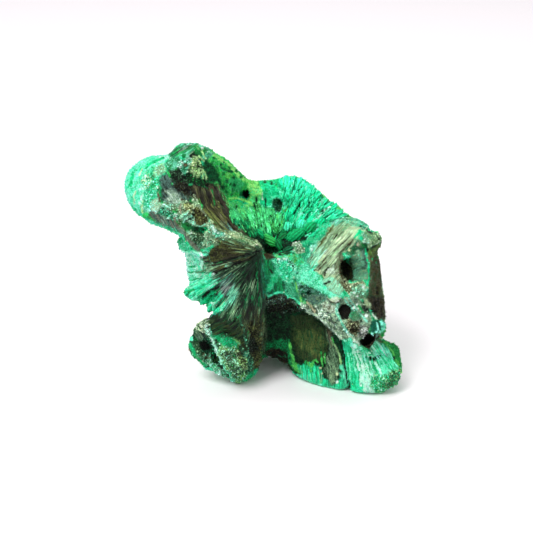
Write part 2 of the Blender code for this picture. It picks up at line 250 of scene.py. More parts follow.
def makeBody():
    source = frame["nodes"]["malachite"]
    activate(source)
    bpy.ops.object.duplicate()
    piece = bpy.context.object
    piece.name = "stoneBody"
    piece.parent = None
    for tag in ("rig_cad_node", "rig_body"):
        del piece[tag]
    piece.data.materials.clear()
    bpy.ops.object.mode_set(mode="EDIT")
    bpy.ops.mesh.select_all(action="SELECT")
    bpy.ops.mesh.remove_doubles(threshold=body["weld"])
    bpy.ops.object.mode_set(mode="OBJECT")
    remesh = piece.modifiers.new("evenFaces", "REMESH")
    remesh.mode = "VOXEL"
    remesh.voxel_size = body["voxel"] * mm
    bpy.ops.object.modifier_apply(modifier=remesh.name)
    relax(piece, body["smoothing"])
    mesh = piece.data
    lowerArch(mesh)
    shown = inSight(coordinates(mesh), normals(mesh), treeOf(piece))
    bpy.ops.object.mode_set(mode="EDIT")
    bpy.ops.mesh.select_all(action="DESELECT")
    bpy.ops.object.mode_set(mode="OBJECT")
    mesh.vertices.foreach_set("select", shown > 0)
    bpy.ops.object.mode_set(mode="EDIT")
    bpy.ops.mesh.select_mode(type="VERT")
    bpy.ops.mesh.select_more()
    bpy.ops.mesh.subdivide(number_cuts=body["frontCuts"], smoothness=0)
    bpy.ops.mesh.quads_convert_to_tris(quad_method="BEAUTY", ngon_method="BEAUTY")
    bpy.ops.object.mode_set(mode="OBJECT")
    relax(piece, body["frontSmoothing"])
    print("stone body:", len(mesh.vertices), "points,", len(mesh.polygons), "faces")
    return piece


def lowerArch(mesh):  # the underside of the arch hangs a little lower than the front face beside it
    where = coordinates(mesh)
    away = (seenAt(where) - np.array(body["archMiddle"])) / np.array(body["archReach"])
    where[:, 2] -= body["archDrop"] * mm * np.exp(-(away ** 2).sum(axis=1))
    where[:, 2] = np.maximum(where[:, 2], 0)
    mesh.vertices.foreach_set("co", where.ravel())
    mesh.update()


def relax(piece, times):
    smooth = piece.modifiers.new("relax", "SMOOTH")
    smooth.factor = 0.5
    smooth.iterations = times
    activate(piece)
    bpy.ops.object.modifier_apply(modifier=smooth.name)


print("camera and studio")
makeCamera()
makeStudio()
print("body")
stone = makeBody()


palette = {  # the stone's colours, as a painter names them
    "black": (6, 10, 7), "pitch": (4, 30, 18), "peat": (24, 34, 16), "bottle": (0, 84, 50),
    "holly": (0, 112, 58), "fir": (22, 74, 40), "emerald": (8, 158, 92), "green": (48, 178, 84),
    "fern": (36, 140, 66), "grass": (58, 212, 112), "pea": (88, 214, 138), "lime": (112, 218, 104),
    "pear": (178, 238, 142), "leek": (96, 142, 66), "jade": (12, 200, 134), "mint": (66, 230, 174),
    "foam": (152, 250, 214), "ice": (150, 236, 218), "white": (232, 248, 236),
    "haze": (92, 196, 156), "lichen": (96, 138, 104), "sage": (146, 178, 136),
    "ash": (188, 212, 176), "cream": (206, 216, 168), "shell": (212, 196, 172),
    "slate": (88, 122, 112), "lead": (50, 66, 60), "teal": (14, 100, 84), "lilac": (150, 148, 146),
    "clay": (120, 112, 92), "umber": (36, 32, 20), "brown": (76, 66, 42), "bark": (66, 62, 34),
    "loam": (58, 64, 32), "olive": (98, 106, 56), "straw": (142, 152, 86),
}


def paintOf(name):
    value = np.array(palette[name]) / 255
    return np.where(value <= 0.04045, value / 12.92, ((value + 0.055) / 1.055) ** 2.4)


def ramp(names, amount):  # colours spread evenly over 0..1
    colours = np.array([paintOf(name) for name in names.split()])
    place = np.clip(amount, 0, 1) * (len(colours) - 1)
    low = np.minimum(place.astype(int), max(len(colours) - 2, 0))
    high = np.minimum(low + 1, len(colours) - 1)
    part = (place - low)[:, None]
    return colours[low] * (1 - part) + colours[high] * part


# what the painting works on: every point of the body, its place in the front view and its neighbours
points = coordinates(stone.data) / mm
facing = normals(stone.data)
seen = seenAt(points * mm)
edgeEnds = np.empty(len(stone.data.edges) * 2, dtype=np.int32)
stone.data.edges.foreach_get("vertices", edgeEnds)
edgeEnds = edgeEnds.reshape(-1, 2)
neighbourCount = np.bincount(edgeEnds.ravel(), minlength=len(points))


def blurred(values, times):  # each point takes the mean of itself and its neighbours
    values = np.array(values, dtype=float)
    for _ in range(times):
        total = np.bincount(edgeEnds[:, 0], values[edgeEnds[:, 1]], len(points))
        total += np.bincount(edgeEnds[:, 1], values[edgeEnds[:, 0]], len(points))
        values = 0.5 * values + 0.5 * total / neighbourCount
    return values


lumpSettings = {  # size in mm, seed and layers of each uneven pattern
    "wobbleAcross": (1.6, 31, 4),
    "wobbleDown": (1.6, 47, 4),
    "bend": (4.5, 53, 2),
    "velvet": (2.4, 61, 3),
    "velvetFine": (0.8, 71, 2),
    "crust": (2.2, 83, 4),
    "plain": (1.4, 91, 3),
    "broken": (0.9, 97, 3),
    "speckle": (1.1, 113, 3),
    "hue": (11, 17, 3),
    "worn": (7, 23, 3),
    "fineGrain": (0.62, 131, 2),
    "roughness": (0.7, 141, 2),
}
cellSettings = {"big": (2.6, 3), "fine": (0.95, 13), "pits": (1.8, 151), "knobs": (2.3, 163)}
frontEdge = {"blur": 30, "from": 0.04, "to": 0.3}


def lumps(name):
    size, seed, times = lumpSettings[name]
    return roughNoise(points / size, seed, times)


def cells(name, shift=0):
    size, seed = cellSettings[name]
    return cellNoise(points / size + shift, seed)


shown = inSight(points * mm, facing, treeOf(stone))
front = stretched(blurred(shown, frontEdge["blur"]), frontEdge["from"], frontEdge["to"])
smoothed = np.stack([blurred(points[:, k], 24) for k in range(3)], axis=1)
hollow = np.einsum("ij,ij->i", smoothed - points, facing)  # above 0 in a hollow, below 0 on a ridge
wobble = np.stack([lumps("wobbleAcross"), lumps("wobbleDown")], axis=1) * 4 - 2


radialSpread = 55  # how far across one radian of turn counts

# flows tell which way the fibres run, as (across, along) in view pixels
def radialFlow(centre, way=1):  # along grows away from the centre, or towards it where way is -1
    def flowAt(px):
        away = px - np.array(centre)
        turn = np.arctan2(away[:, 1], -away[:, 0]) * radialSpread
        return np.stack((turn, way * np.hypot(away[:, 0], away[:, 1])), axis=1)
    return flowAt


def straightFlow(direction):
    along = np.array(direction) / math.hypot(*direction)

    def flowAt(px):
        return np.stack((px @ np.array((along[1], -along[0])), px @ along), axis=1)
    return flowAt


def guidedFlow(guide, halfWidths):  # fibres that follow a bent guide and close up towards its end
    guide = np.array(guide, dtype=float)

    def flowAt(px):
        best = np.full(len(px), 1e9)
        across, along = np.zeros(len(px)), np.zeros(len(px))
        passed = 0.0
        for start, end, wideA, wideB in zip(guide, guide[1:], halfWidths, halfWidths[1:]):
            step = end - start
            length = np.hypot(*step)
            part = np.clip((px - start) @ step / length ** 2, 0, 1)
            offset = px - start - part[:, None] * step
            distance = np.hypot(offset[:, 0], offset[:, 1])
            side = np.sign(offset[:, 0] * step[1] - offset[:, 1] * step[0])
            wide = wideA + (wideB - wideA) * part
            closer = distance < best
            across = np.where(closer, side * distance / wide * halfWidths[0], across)
            along = np.where(closer, passed + part * length, along)
            best = np.minimum(best, distance)
            passed += length
        return np.stack((across, along), axis=1)
    return flowAt


flowMakers = {
    "none": straightFlow((0.3, 1.0)),
    "fan": radialFlow((262, 252)),
    "neck": guidedFlow([(196, 176), (208, 208), (228, 230), (246, 242), (262, 251)], [17, 14, 7, 4, 1.5]),
    "shoulder": guidedFlow([(252, 284), (240, 303), (223, 317), (202, 327)], [16, 16, 16, 14]),
    "club": straightFlow((0.5, 0.86)),
    "knob": straightFlow((0.8, -0.6)),
    "bowl": radialFlow((280, 250)),
    "bowlLeft": radialFlow((266, 272), -1),
    "hood": straightFlow((0.64, -0.77)),
    "eyeFacet": straightFlow((0.92, -0.38)),
    "side": straightFlow((0.12, 1.0)),
    "bridge": straightFlow((0.6, 0.8)),
    "wing": straightFlow((1.0, 0.04)),
    "noseLeft": straightFlow((0.16, 0.99)),
    "noseRight": straightFlow((0.55, 0.83)),
    "recess": guidedFlow([(326, 320), (336, 345), (341, 368), (342, 392)], [20, 20, 20, 20]),
    "fringe": straightFlow((0.05, 1.0)),
}
flowNames = list(flowMakers)
bend = np.stack((lumps("bend") * 6, np.zeros(len(points))), axis=1)  # no fibre is quite straight
flows = {name: make(seen) + bend for name, make in flowMakers.items()}


def streakPattern(flow, spacing, length, seed=5):  # 0 between the fibres, 1 on their tops
    across, along = flow[:, 0] / spacing, flow[:, 1] / length
    flat = np.stack((across, along, np.zeros(len(flow))), axis=1)
    broad = softNoise(flat * (0.4, 0.6, 1), seed)
    mid = softNoise(flat, seed + 1)
    fine = softNoise(flat * (1.8, 1.6, 1), seed + 2)
    return stretched(0.12 * broad + 0.44 * mid + 0.44 * fine, 0.3, 0.7)


def cellPattern(flow, spacing, length, seed=9):  # 0 in the pits, 1 on the ridges between them
    flat = np.stack((flow[:, 0] / spacing, flow[:, 1] / length, np.full(len(flow), 0.5)), axis=1)
    flat[:, :2] += 0.35 * (wobble * 0.5)
    return stretched(cellNoise(flat, seed)[0], 0.1, 0.62)


colour = np.zeros((len(points), 3))
hollowPaint = colour.copy()  # the darkest and the palest paint the fine grain shows at each point
topPaint = colour.copy()
lift = np.zeros(len(points))  # slow rise or fall of the surface, in mm
relief = np.zeros(len(points))  # the grain's own relief, in mm
kinds = np.zeros((len(points), 3))  # shares of silk, crust and velvet
flow = flows["none"].copy()
flowNumber = np.zeros(len(points), dtype=int)
cellShare = np.zeros(len(points))
velvetPattern = stretched(0.55 * lumps("velvet") + 0.45 * lumps("velvetFine"), 0.28, 0.72)
nearestFine, secondFine = cells("fine")
crustPattern = stretched(0.35 * (secondFine - nearestFine) + lumps("crust"), 0.4, 0.82)
pitPlaces = stretched(-cells("pits", 0.25 * wobble[:, :1])[0], -0.36, -0.2)
knobPlaces = stretched(-cells("knobs", 0.25 * wobble[:, 1:])[0], -0.36, -0.2)
crustPattern -= 0.9 * pitPlaces  # dark pits and pale knobs among the grains
crustPattern = np.clip(crustPattern + 0.6 * knobPlaces, 0, 1)
plainPattern = stretched(lumps("plain"), 0.25, 0.75)
broken = stretched(lumps("broken"), 0.32, 0.56)  # strokes are worn through where it is low
speckle = stretched(lumps("speckle"), 0.25, 0.75)  # frays the edges between two paints
paintLayers = ((hollowPaint, -0.42), (colour, 0.0), (topPaint, 0.42))
grainLooks = {  # relief in mm, and the shares of silk, crust and velvet
    "silk": (0.4, (1, 0, 0)),
    "combed": (0.15, (0.6, 0, 0.4)),
    "ribs": (0.5, (0.6, 0, 0.4)),
    "cells": (0.75, (0.2, 0, 0.8)),
    "curtain": (0.8, (0.2, 0, 0.8)),
    "crust": (0.95, (0, 1, 0)),
    "velvet": (0.4, (0, 0, 1)),
    "plain": (0.2, (0.2, 0.4, 0.4)),
}
madePatterns = {}


def makePattern(grain, flow):
    if grain == "silk":
        return streakPattern(flow, 1.8, 9.0)
    if grain == "combed":
        return 0.25 + 0.5 * streakPattern(flow, 1.8, 14.0)
    if grain == "ribs":
        return cellPattern(flow, 2.6, 7.0)
    if grain == "cells":
        return cellPattern(flow, 3.3, 8.5)
    if grain == "curtain":
        return cellPattern(flow, 3.0, 14.0)
    return {"crust": crustPattern, "velvet": velvetPattern, "plain": plainPattern}[grain]


def grainPattern(grain, flowName):  # each pattern is worked out once
    if (grain, flowName) not in madePatterns:
        madePatterns[grain, flowName] = makePattern(grain, flows[flowName])
    return madePatterns[grain, flowName]


def lay(mask, colours, grain, flowName, rise):
    near = np.nonzero(mask > 0.004)[0]
    if not len(near):
        return
    pattern = grainPattern(grain, flowName)[near]
    amount = stretched(mask[near] + 0.3 * (pattern - 0.5) + 0.55 * (speckle[near] - 0.5), 0.24, 0.72)
    for paint, offset in paintLayers:
        tint = ramp(colours, 0.12 + 0.76 * pattern + offset)
        paint[near] += (tint - paint[near]) * amount[:, None]
    depth, kind = grainLooks[grain]
    kinds[near] += (np.array(kind) - kinds[near]) * amount[:, None]
    relief[near] += ((pattern - 0.5) * depth - relief[near]) * amount
    lift[near] += rise * amount
    cellShare[near] += ((grain in ("cells", "curtain")) - cellShare[near]) * amount
    if grain in ("silk", "combed", "ribs", "cells", "curtain"):
        covered = near[amount > 0.5]
        flow[covered] = flows[flowName][covered]
        flowNumber[covered] = flowNames.index(flowName)


def nearTo(outline, margin):
    outline = np.array(outline, dtype=float).reshape(-1, 2)
    low, high = outline.min(0) - margin, outline.max(0) + margin
    inside = (front > 0.01) & (seen > low).all(1) & (seen < high).all(1)
    return np.nonzero(inside)[0], outline


def edgeDistance(where, ends):
    best = np.full(len(where), 1e9)
    for start, end in ends:
        step = end - start
        part = np.clip((where - start) @ step / max(step @ step, 1e-9), 0, 1)
        offset = where - start - part[:, None] * step
        best = np.minimum(best, np.hypot(offset[:, 0], offset[:, 1]))
    return best


def patch(colours, outline, grain="velvet", flowName="none", rise=0.0, soft=3.4, ragged=1.2):
    near, outline = nearTo(outline, soft + 2 * ragged + 1)
    where = seen[near] + wobble[near] * ragged
    ends = list(zip(outline, np.roll(outline, -1, axis=0)))
    distance = edgeDistance(where, ends)
    inside = np.zeros(len(where), dtype=bool)
    for start, end in ends:
        if start[1] == end[1]:
            continue
        crosses = (start[1] > where[:, 1]) != (end[1] > where[:, 1])
        at = (end[0] - start[0]) * (where[:, 1] - start[1]) / (end[1] - start[1]) + start[0]
        inside ^= crosses & (where[:, 0] < at)
    signed = np.where(inside, -distance, distance)
    mask = np.zeros(len(points))
    mask[near] = np.clip(0.5 - signed / soft, 0, 1) * front[near]
    lay(mask, colours, grain, flowName, rise)


def stroke(colours, line, width, rise=0.0, grain="plain", flowName="none", ragged=0.45):
    near, line = nearTo(line, width + 2 * ragged + 1)
    where = seen[near] + wobble[near] * ragged
    ends = list(zip(line, line[1:])) if len(line) > 1 else [(line[0], line[0])]
    distance = edgeDistance(where, ends)
    mask = np.zeros(len(points))
    mask[near] = np.clip(1.1 - distance / (width / 2 + 0.4), 0, 1) * front[near] * (0.3 + 0.7 * broken[near])
    mask = np.minimum(mask * 1.8, 1)
    lay(mask, colours, grain, flowName, rise)


def strokes(colours, lines, width, rise=0.0, **options):
    for line in lines:
        stroke(colours, line, width, rise, **options)


def spots(colours, places, width, rise=0.0):
    for place in np.reshape(places, (-1, 2)):
        stroke(colours, place, width, rise)


def velvetAllOver():  # the sides and the back: lumpy green velvet, with painted light on its tops and painted shade in its creases
    # half the tone is the velvet's grain, half is painted shade in the hollows and painted light on the
    # ridges
    tone = 0.5 * velvetPattern + 0.5 * stretched(-hollow, -0.35, 0.3)
    hue = stretched(lumps("hue"), 0.42, 0.62)[:, None]
    worn = stretched(lumps("worn") - 0.03 * points[:, 2], 0.38, 0.5) * (1 - front)
    for paint, offset in paintLayers:
        cool = ramp("pitch bottle emerald jade mint foam", tone + 0.6 * offset)
        warm = ramp("pitch fir fern green grass lime", tone + 0.6 * offset)
        brown = ramp("umber brown olive sage cream", crustPattern + offset)
        velvet = cool * (1 - hue) + warm * hue
        paint[:] = velvet + (brown - velvet) * worn[:, None]
    kinds[:] = (0, 0, 1)
    relief[:] = (velvetPattern - 0.5) * 0.3 + stretched(cells("big")[0], 0.0, 0.9) * -0.25
    kinds[:] += (np.array((0, 1, 0)) - kinds) * worn[:, None]


# The marks below are laid on the stone as it is seen from the front, at x, y, x, y in view pixels. A row
# starts with its brush, or with its colours, hollows first, where it is a plain patch.
# Most black and pitch marks that sink the skin (a rise below 0) are painted shade in pits, grooves, gaps and
# hollows.
fanRays = {
    "count": 30,
    "centre": (262, 252),
    "turns": (1.62, 2.85),
    "reach": (34, 62),
    "uneven": (0.1, 0.8, 0.35, 1.0, 0.0, 0.6, 0.45),
}


def fanGrooves():  # dark grooves of painted shade and pale threads between them, out from the fan's centre
    uneven = fanRays["uneven"]
    acrossMiddle, downMiddle = fanRays["centre"]
    nearest, farthest = fanRays["reach"]
    first, last = fanRays["turns"]
    for number in range(fanRays["count"]):
        turn = first + (last - first) * (number + 0.6 * uneven[number % 7]) / fanRays["count"]
        reach = nearest + (farthest - nearest) * uneven[number * 3 % 7]
        line = [(acrossMiddle + math.cos(turn) * length, downMiddle + math.sin(turn) * length)
                for length in (reach * 0.5, reach * 0.75, reach)]
        if number % 2:
            stroke("fir lichen sage", line, 0.7, 0.1, "silk", "fan", 0.8)
        else:
            # painted shade in the grooves between the fibres
            stroke("black pitch", line, 1.3, -0.5, ragged=0.8)


fingerThreads = {
    "count": 10,
    "pitch": 0.95,
    "line": ((215, 277.5), (206, 284.5), (195, 291.5)),
    "aside": ((0.66, 0.75), (0.7, 0.7), (0.5, 0.85)),
}


def fingerLines():  # fine threads side by side along the long finger
    for number in range(fingerThreads["count"]):
        aside = fingerThreads["pitch"] * (number - fingerThreads["count"] / 2)
        line = [(place[0] + aside * way[0], place[1] + aside * way[1])
                for place, way in zip(fingerThreads["line"], fingerThreads["aside"])]
        if number % 2:
            stroke("foam white", line, 0.9, 0.3, ragged=0.7)
        else:
            stroke("mint jade", line, 0.9, -0.15, ragged=0.7)


gaps = {  # painted shade in short dark gaps left between the needles, along lines that meet at a centre, then painted highlights on pale tips
    "curtain": {"centre": (266, 272), "turns": (-2.25, -1.2), "reach": (40, 64), "length": (4, 12),
                "count": 34, "names": "pitch bottle", "width": (1.0, 1.9), "rise": -0.5},
    "wall": {"centre": (272, 262), "turns": (-1.4, -0.5), "reach": (42, 84), "length": (3, 7),
             "count": 70, "names": "pitch bottle", "width": (1.0, 1.9), "rise": -0.5},
    # painted highlights on the needles' tips
    "curtainPale": {"centre": (266, 272), "turns": (-2.25, -1.25), "reach": (44, 66), "length": (3, 8),
                    "count": 60, "names": "pea lime", "width": (0.7, 1.1), "rise": 0.3},
    "wallPale": {"centre": (272, 262), "turns": (-1.5, -0.5), "reach": (42, 86), "length": (2.5, 6),
                 "count": 170, "names": "mint foam", "width": (0.6, 0.9), "rise": 0.3},
}


def bowlGaps():
    for gap in gaps.values():
        draw = np.random.default_rng(gap["count"])
        acrossMiddle, downMiddle = gap["centre"]
        for _ in range(gap["count"]):
            turn = draw.uniform(*gap["turns"])
            start = draw.uniform(*gap["reach"])
            end = start + draw.uniform(*gap["length"])
            line = [(acrossMiddle + math.cos(turn) * far, downMiddle + math.sin(turn) * far)
                    for far in (start, end)]
            stroke(gap["names"], line, draw.uniform(*gap["width"]), gap["rise"])


noseThreads = {  # left and right say where the outer threads start and end, down how far they reach
    "count": 30,
    "left": (346, 349),
    "right": (385, 399),
    "down": (350, 390),
    "uneven": (6, 14),
    "shorter": 10,
    "bow": 0.6,
}


def noseLines():  # pale threads and dark lines between them, down the nose
    (topLeft, footLeft), (topRight, footRight) = noseThreads["left"], noseThreads["right"]
    for number in range(noseThreads["count"]):
        part = number / (noseThreads["count"] - 1)
        top = topLeft + part * (topRight - topLeft)
        foot = footLeft + part * (footRight - footLeft)
        start = noseThreads["down"][0] + noseThreads["uneven"][0] * fanRays["uneven"][number * 2 % 7]
        end = noseThreads["down"][1] - noseThreads["uneven"][1] * fanRays["uneven"][number % 7]
        end -= noseThreads["shorter"] * part
        line = [(top, start), ((top + foot) / 2 + noseThreads["bow"], (start + end) / 2), (foot, end)]
        if number % 2:
            # the middle threads are whiter: painted highlight along the nose's middle ridge
            stroke("foam white" if 0.2 < part < 0.7 else "mint foam", line, 0.9, 0.2, ragged=0.8)
        else:
            stroke("emerald jade", line, 0.7, -0.25, ragged=0.8)


clubMarks = [
    ("jade mint foam foam", (120, 190, 126, 172, 134, 164, 146, 156, 160, 151, 175, 150, 173, 157, 166, 160,
     161, 167, 152, 168, 150, 176, 157, 182, 156, 192, 149, 194, 144, 196, 142, 204, 143, 213, 132, 210,
     124, 200)),
    ("emerald jade mint foam", (122, 200, 134, 207, 142, 213, 150, 219, 160, 221, 170, 226, 181, 233,
     190, 245, 199, 252, 203, 262, 203, 276, 185, 300, 180, 275, 184, 262, 178, 246, 172, 236, 160, 232,
     146, 228, 136, 219, 126, 208), "velvet", "wing"),
    ("foam foam white", (157, 151, 166, 150, 172, 151, 168, 159, 159, 161), {"soft": 4}),
    ("line", "jade emerald", (146, 168, 149, 164, 156, 161, 163, 158), 3.2),
    ("line", "jade emerald", (131, 185, 132, 178, 134, 173), 3.5),
    ("line", "jade emerald", (137, 171, 142, 168), 2.2),
    ("mint foam foam white", (140, 180, 148, 179, 152, 186, 147, 192, 140, 189), {"soft": 4}),
    ("fern jade mint foam cream", (144, 173, 156, 171, 158, 186, 152, 192, 146, 190, 140, 184), "crust"),
    ("sage foam pear", (156, 167, 163, 164, 168, 168, 163, 174, 157, 176, 152, 174), "crust"),
    ("line", "ash", (139, 175, 142, 169), 1.3, 0.1),
    ("line", "ash", (136, 191, 133, 197, 135, 203), 1.3, 0.1),
    ("line", "white foam", (145, 193, 141, 199, 140, 203), 3.4, 0.1),
    ("line", "cream pear", (143, 200, 142, 206, 142, 212), 1.8),
    ("haze foam foam white", (143, 199, 148, 198, 157, 203, 160, 212, 150, 213, 143, 212), "crust"),
    ("dots", "green grass", (146.5, 214.5), 7, 0.3),
    ("jade mint foam foam", (143, 191, 152, 188, 157, 194, 158, 208, 150, 210, 142, 206), "crust",
     {"soft": 5}),
    ("lead slate clay", (149, 208, 160, 213, 173, 219, 180, 230, 166, 225, 158, 221, 149, 216), "silk",
     "club"),
    ("black lead slate slate", (162, 174, 167, 174, 173, 178, 178, 185, 188, 186, 195, 195, 190, 202,
     180, 205, 171, 206, 165, 204, 162, 198, 161, 186), "combed", "club", {"soft": 7}),
    ("black black lead slate", (161, 182, 168, 184, 171, 192, 168, 198, 162, 196), "combed", "club",
     {"soft": 7}),
    ("black pitch lead slate sage", (172, 178, 186, 182, 200, 192, 196, 202, 184, 196), "combed", "club",
     {"soft": 7}),
    # painted highlight: a soft pale sheen across the dark silky fibres
    ("slate sage ash white", (168, 191, 175, 190, 181, 197, 184, 204, 176, 206, 170, 203), "combed", "club",
     {"soft": 9}),
    ("olive lichen sage ash foam", (156, 202, 168, 203, 183, 203, 180, 209, 168, 212, 157, 209), "crust",
     "club", {"soft": 5}),
    ("fir haze mint white", (156, 206, 170, 210, 180, 214, 180, 221, 167, 219, 156, 213), "crust"),
    ("ash foam foam white", (150, 199, 159, 198, 162, 206, 158, 212, 150, 210), "crust"),
    ("line", "brown clay", (159, 184, 158, 193, 160, 201), 1.3, {"ragged": 0.9}),
    ("dots", "umber brown", (171.5, 209, 179, 211, 183, 200), 3.4),
    # painted shade under the knob, this patch and the next dark one
    ("black pitch fir lichen", (171, 164, 176, 158, 181, 158, 180, 167, 184, 173, 187, 170, 192, 171,
     197, 176, 204, 179, 207, 177, 212, 181, 215, 184, 213, 188, 204, 187, 196, 184, 188, 183, 182, 183,
     177, 183, 173, 179, 168, 172), "crust", {"rise": -0.4, "soft": 5}),
    ("line", "green grass", (168, 172, 170, 176), 1.8),
    ("dots", "green", (175.5, 168, 178, 183, 172, 184), 2.4),
    ("black pitch holly fern", (194, 170, 203, 177, 213, 181, 213, 187, 202, 186, 190, 182, 186, 174),
     "crust", {"soft": 5}),
]
knobMarks = [
    ("fir fern haze haze foam", (166, 164, 170, 155, 176, 148, 183, 142, 190, 140, 200, 141, 209, 146,
     213, 153, 208, 159, 199, 160, 193, 156, 188, 158, 181, 157, 175, 162), "silk", "knob"),
    ("line", "haze white", (170, 159, 177, 152, 186, 147, 192, 145), 1.1, 0.2, {"ragged": 0.9}),
    ("line", "slate ash", (176, 155, 184, 149, 190, 146, 196, 147), 1.2, 0.1, {"ragged": 0.9}),
    ("line", "foam", (173, 161, 181, 154), 1, {"ragged": 0.9}),
    ("line", "white", (168, 163, 170, 159), 1.4),
    ("line", "slate", (178, 152, 187, 146.5), 1.1),
    ("fern haze foam foam", (168, 159, 178, 154, 182, 162, 177, 168, 170, 169, 166, 165), "crust"),
    ("fir holly fern haze", (167, 158, 171, 151, 178, 148, 180, 156, 174, 161), "silk", "knob", {"soft": 5}),
    ("pitch bottle fern green", (187, 148, 199, 145, 209, 151, 200, 158, 190, 156), "silk", "knob"),
    ("dots", "holly", (194.5, 150, 200, 152, 184, 156, 178, 160), 5),
    ("fir fern green", (190, 149, 199, 147, 203, 152, 199, 157, 191, 155), {"soft": 4}),
    ("dots", "green sage", (189, 152, 198, 148), 3),
    ("dots", "white", (202, 148, 208.5, 152), 2.5),
    ("fir holly fern", (189, 151, 198, 150, 201, 156, 196, 160, 190, 157), {"soft": 3}),
    ("black pitch", (188, 155, 193, 152, 198, 155, 204, 160, 200, 163, 195, 158, 190, 158), {"rise": -0.5}),
    ("holly haze foam white", (180, 160, 187, 157, 192, 160, 191, 166, 188, 172, 185, 175, 180, 171,
     178, 165), "crust", {"rise": 0.4}),
    ("fir leek sage pear cream", (192, 158, 197, 157, 200, 163, 204, 169, 204, 174, 199, 178, 193, 175,
     188, 171, 190, 166), "crust", {"rise": 0.6}),
    ("dots", "brown", (185.5, 165), 3.2),
    ("dots", "pitch", (184, 161, 197, 166, 199, 171), 2.2),
    ("lines", "sage pear", [(198, 169, 198, 177), (202, 171, 203, 178), (204, 172, 207, 179), (194, 170,
     194, 176), (199, 156, 204, 161), (201, 152, 206, 158)], 1.3, 0.3),
]
wallMarks = [
    ("fern green grass lime", (205, 144, 213, 149, 219, 152, 230, 158, 240, 171, 250, 178, 248, 190,
     241, 193, 240, 204, 228, 204, 225, 194, 217, 185, 212, 182, 206, 176, 204, 168, 206, 158)),
    ("pitch pitch bottle holly", (203, 158, 211, 162, 217, 170, 221, 180, 226, 192, 220, 189, 212, 183,
     206, 179, 202, 170), {"soft": 8}),
    ("line", "lime pear", (211, 153, 222, 160, 231, 166, 239, 176, 246, 181), 3.4),
    ("dots", "lime", (228.5, 175), 8),
    ("emerald pea pea", (229, 180, 237, 178, 243, 184, 240, 192, 232, 191), {"soft": 5}),
    ("line", "bottle", (222, 168, 227, 171, 232, 172), 2.6, -0.2),
    ("dots", "fern bottle", (214, 158, 225, 163, 229, 168, 237, 171, 241, 177, 230, 185, 223, 174, 226, 187),
     3.5, -0.25),
    ("dots", "bottle", (220, 165, 234, 178, 227, 181, 235, 185.5, 218, 178, 232, 194), 4, -0.25),
    ("dots", "pitch", (233.5, 190), 4, -0.5),
    ("line", "green grass lime", (216, 183, 218, 190, 223, 195, 225.5, 204, 227, 212, 231, 220, 238, 228),
     3.4, 0.4),
]
neckMarks = [
    ("black pitch umber bark", (172, 181, 186, 183, 200, 184, 215, 183, 222, 196, 206, 200, 186, 196,
     176, 190), "crust", {"soft": 5}),
    ("black umber bark olive clay", (190, 186, 205, 188, 215, 186, 219, 192, 224, 203, 227, 215, 234, 224,
     244, 233, 256, 246, 250, 243, 238, 235, 228, 233, 216, 224, 208, 216, 203, 205, 196, 196), "silk",
     "neck", {"soft": 5}),
    ("black umber brown", (210, 189, 216, 184, 221, 193, 226, 205, 228, 215, 238, 229, 246, 237, 236, 232,
     226, 221, 219, 203, 212, 192), "silk", "neck"),
    ("umber olive straw", (204, 206, 214, 212, 222, 224, 232, 234, 222, 230, 212, 221, 206, 215), "silk",
     "neck"),
    ("black black umber loam", (199, 188, 209, 188, 212, 196, 208, 202, 201, 201), "silk", "neck",
     {"soft": 5}),
    ("line", "fir fern", (211.5, 190, 213, 197, 214, 205), 1.6),
    ("line", "clay sage ash", (194, 195, 197, 201, 201, 208, 206, 215), 1.6),
    ("line", "olive straw", (218, 201, 221, 212, 226, 221), 1.6),
    ("line", "slate ice", (225, 221, 230, 228, 234, 232, 239, 236), 1.1, 0.2),
    ("line", "slate", (221, 221, 227, 228, 232, 232), 1, 0.15),
    ("line", "clay slate", (232, 224, 238, 230, 244, 236), 1, 0.15),
    ("dots", "ash", (193, 200, 197, 200), 2.2, 0.2),
]
mossMarks = [
    ("loam lichen sage ash", (178, 205, 186, 200, 196, 204, 206, 214, 212, 224, 213, 240, 206, 247, 196, 250,
     188, 242, 181, 230, 178, 218), "crust"),
    ("bark straw cream", (184, 204, 189, 202, 193, 206, 190, 213, 185, 211), "crust", {"rise": 0.5}),
    ("umber bark olive", (194, 208, 201, 207, 207, 213, 207, 222, 201, 227, 194, 223), "crust",
     {"rise": 0.3}),
    ("pitch holly bottle", (182, 223, 192, 225, 200, 227, 207, 228, 205, 235, 198, 235, 190, 231),
     {"rise": -0.7}),
    ("fir lichen ash foam foam", (180, 211, 187, 212, 193, 217, 194, 226, 187, 226, 182, 222), "crust",
     {"rise": 0.1}),
    ("lines", "sage foam", [(180, 218, 184, 213, 188, 211), (183, 222, 187, 217, 192, 216), (184, 226,
     189, 223, 192, 226), (181, 225, 185, 228, 189, 233, 192, 240), (195, 226, 200, 227, 205, 224)], 1.2,
     0.35),
    ("pitch holly fir fern", (181, 222, 188, 221, 193, 226, 190, 232, 184, 229), {"rise": -0.3, "soft": 3}),
    ("dots", "black pitch", (190, 213, 186, 220, 190, 219), 2.6, -0.3),
    ("fir lichen sage foam", (190, 234, 199, 236, 206, 238, 212, 241, 207, 247, 198, 249, 192, 243), "crust",
     {"rise": 0.2}),
    ("dots", "black", (195, 244.5), 3.8, -0.5),
    ("pitch holly emerald jade", (201, 229, 209, 227, 213, 232, 212, 240, 203, 240), "crust"),
    ("line", "pear white", (210, 229, 206, 232, 205, 236), 1.3, 0.3),
    ("dots", "white", (213.5, 227.5, 213, 233.5, 191.5, 232.5), 3, 0.3),
    ("line", "clay slate", (175, 219, 178, 228, 184, 233, 190, 242, 199, 250), 3.6),
    ("line", "clay shell", (181, 204, 180, 208, 181, 213), 1.4),
]
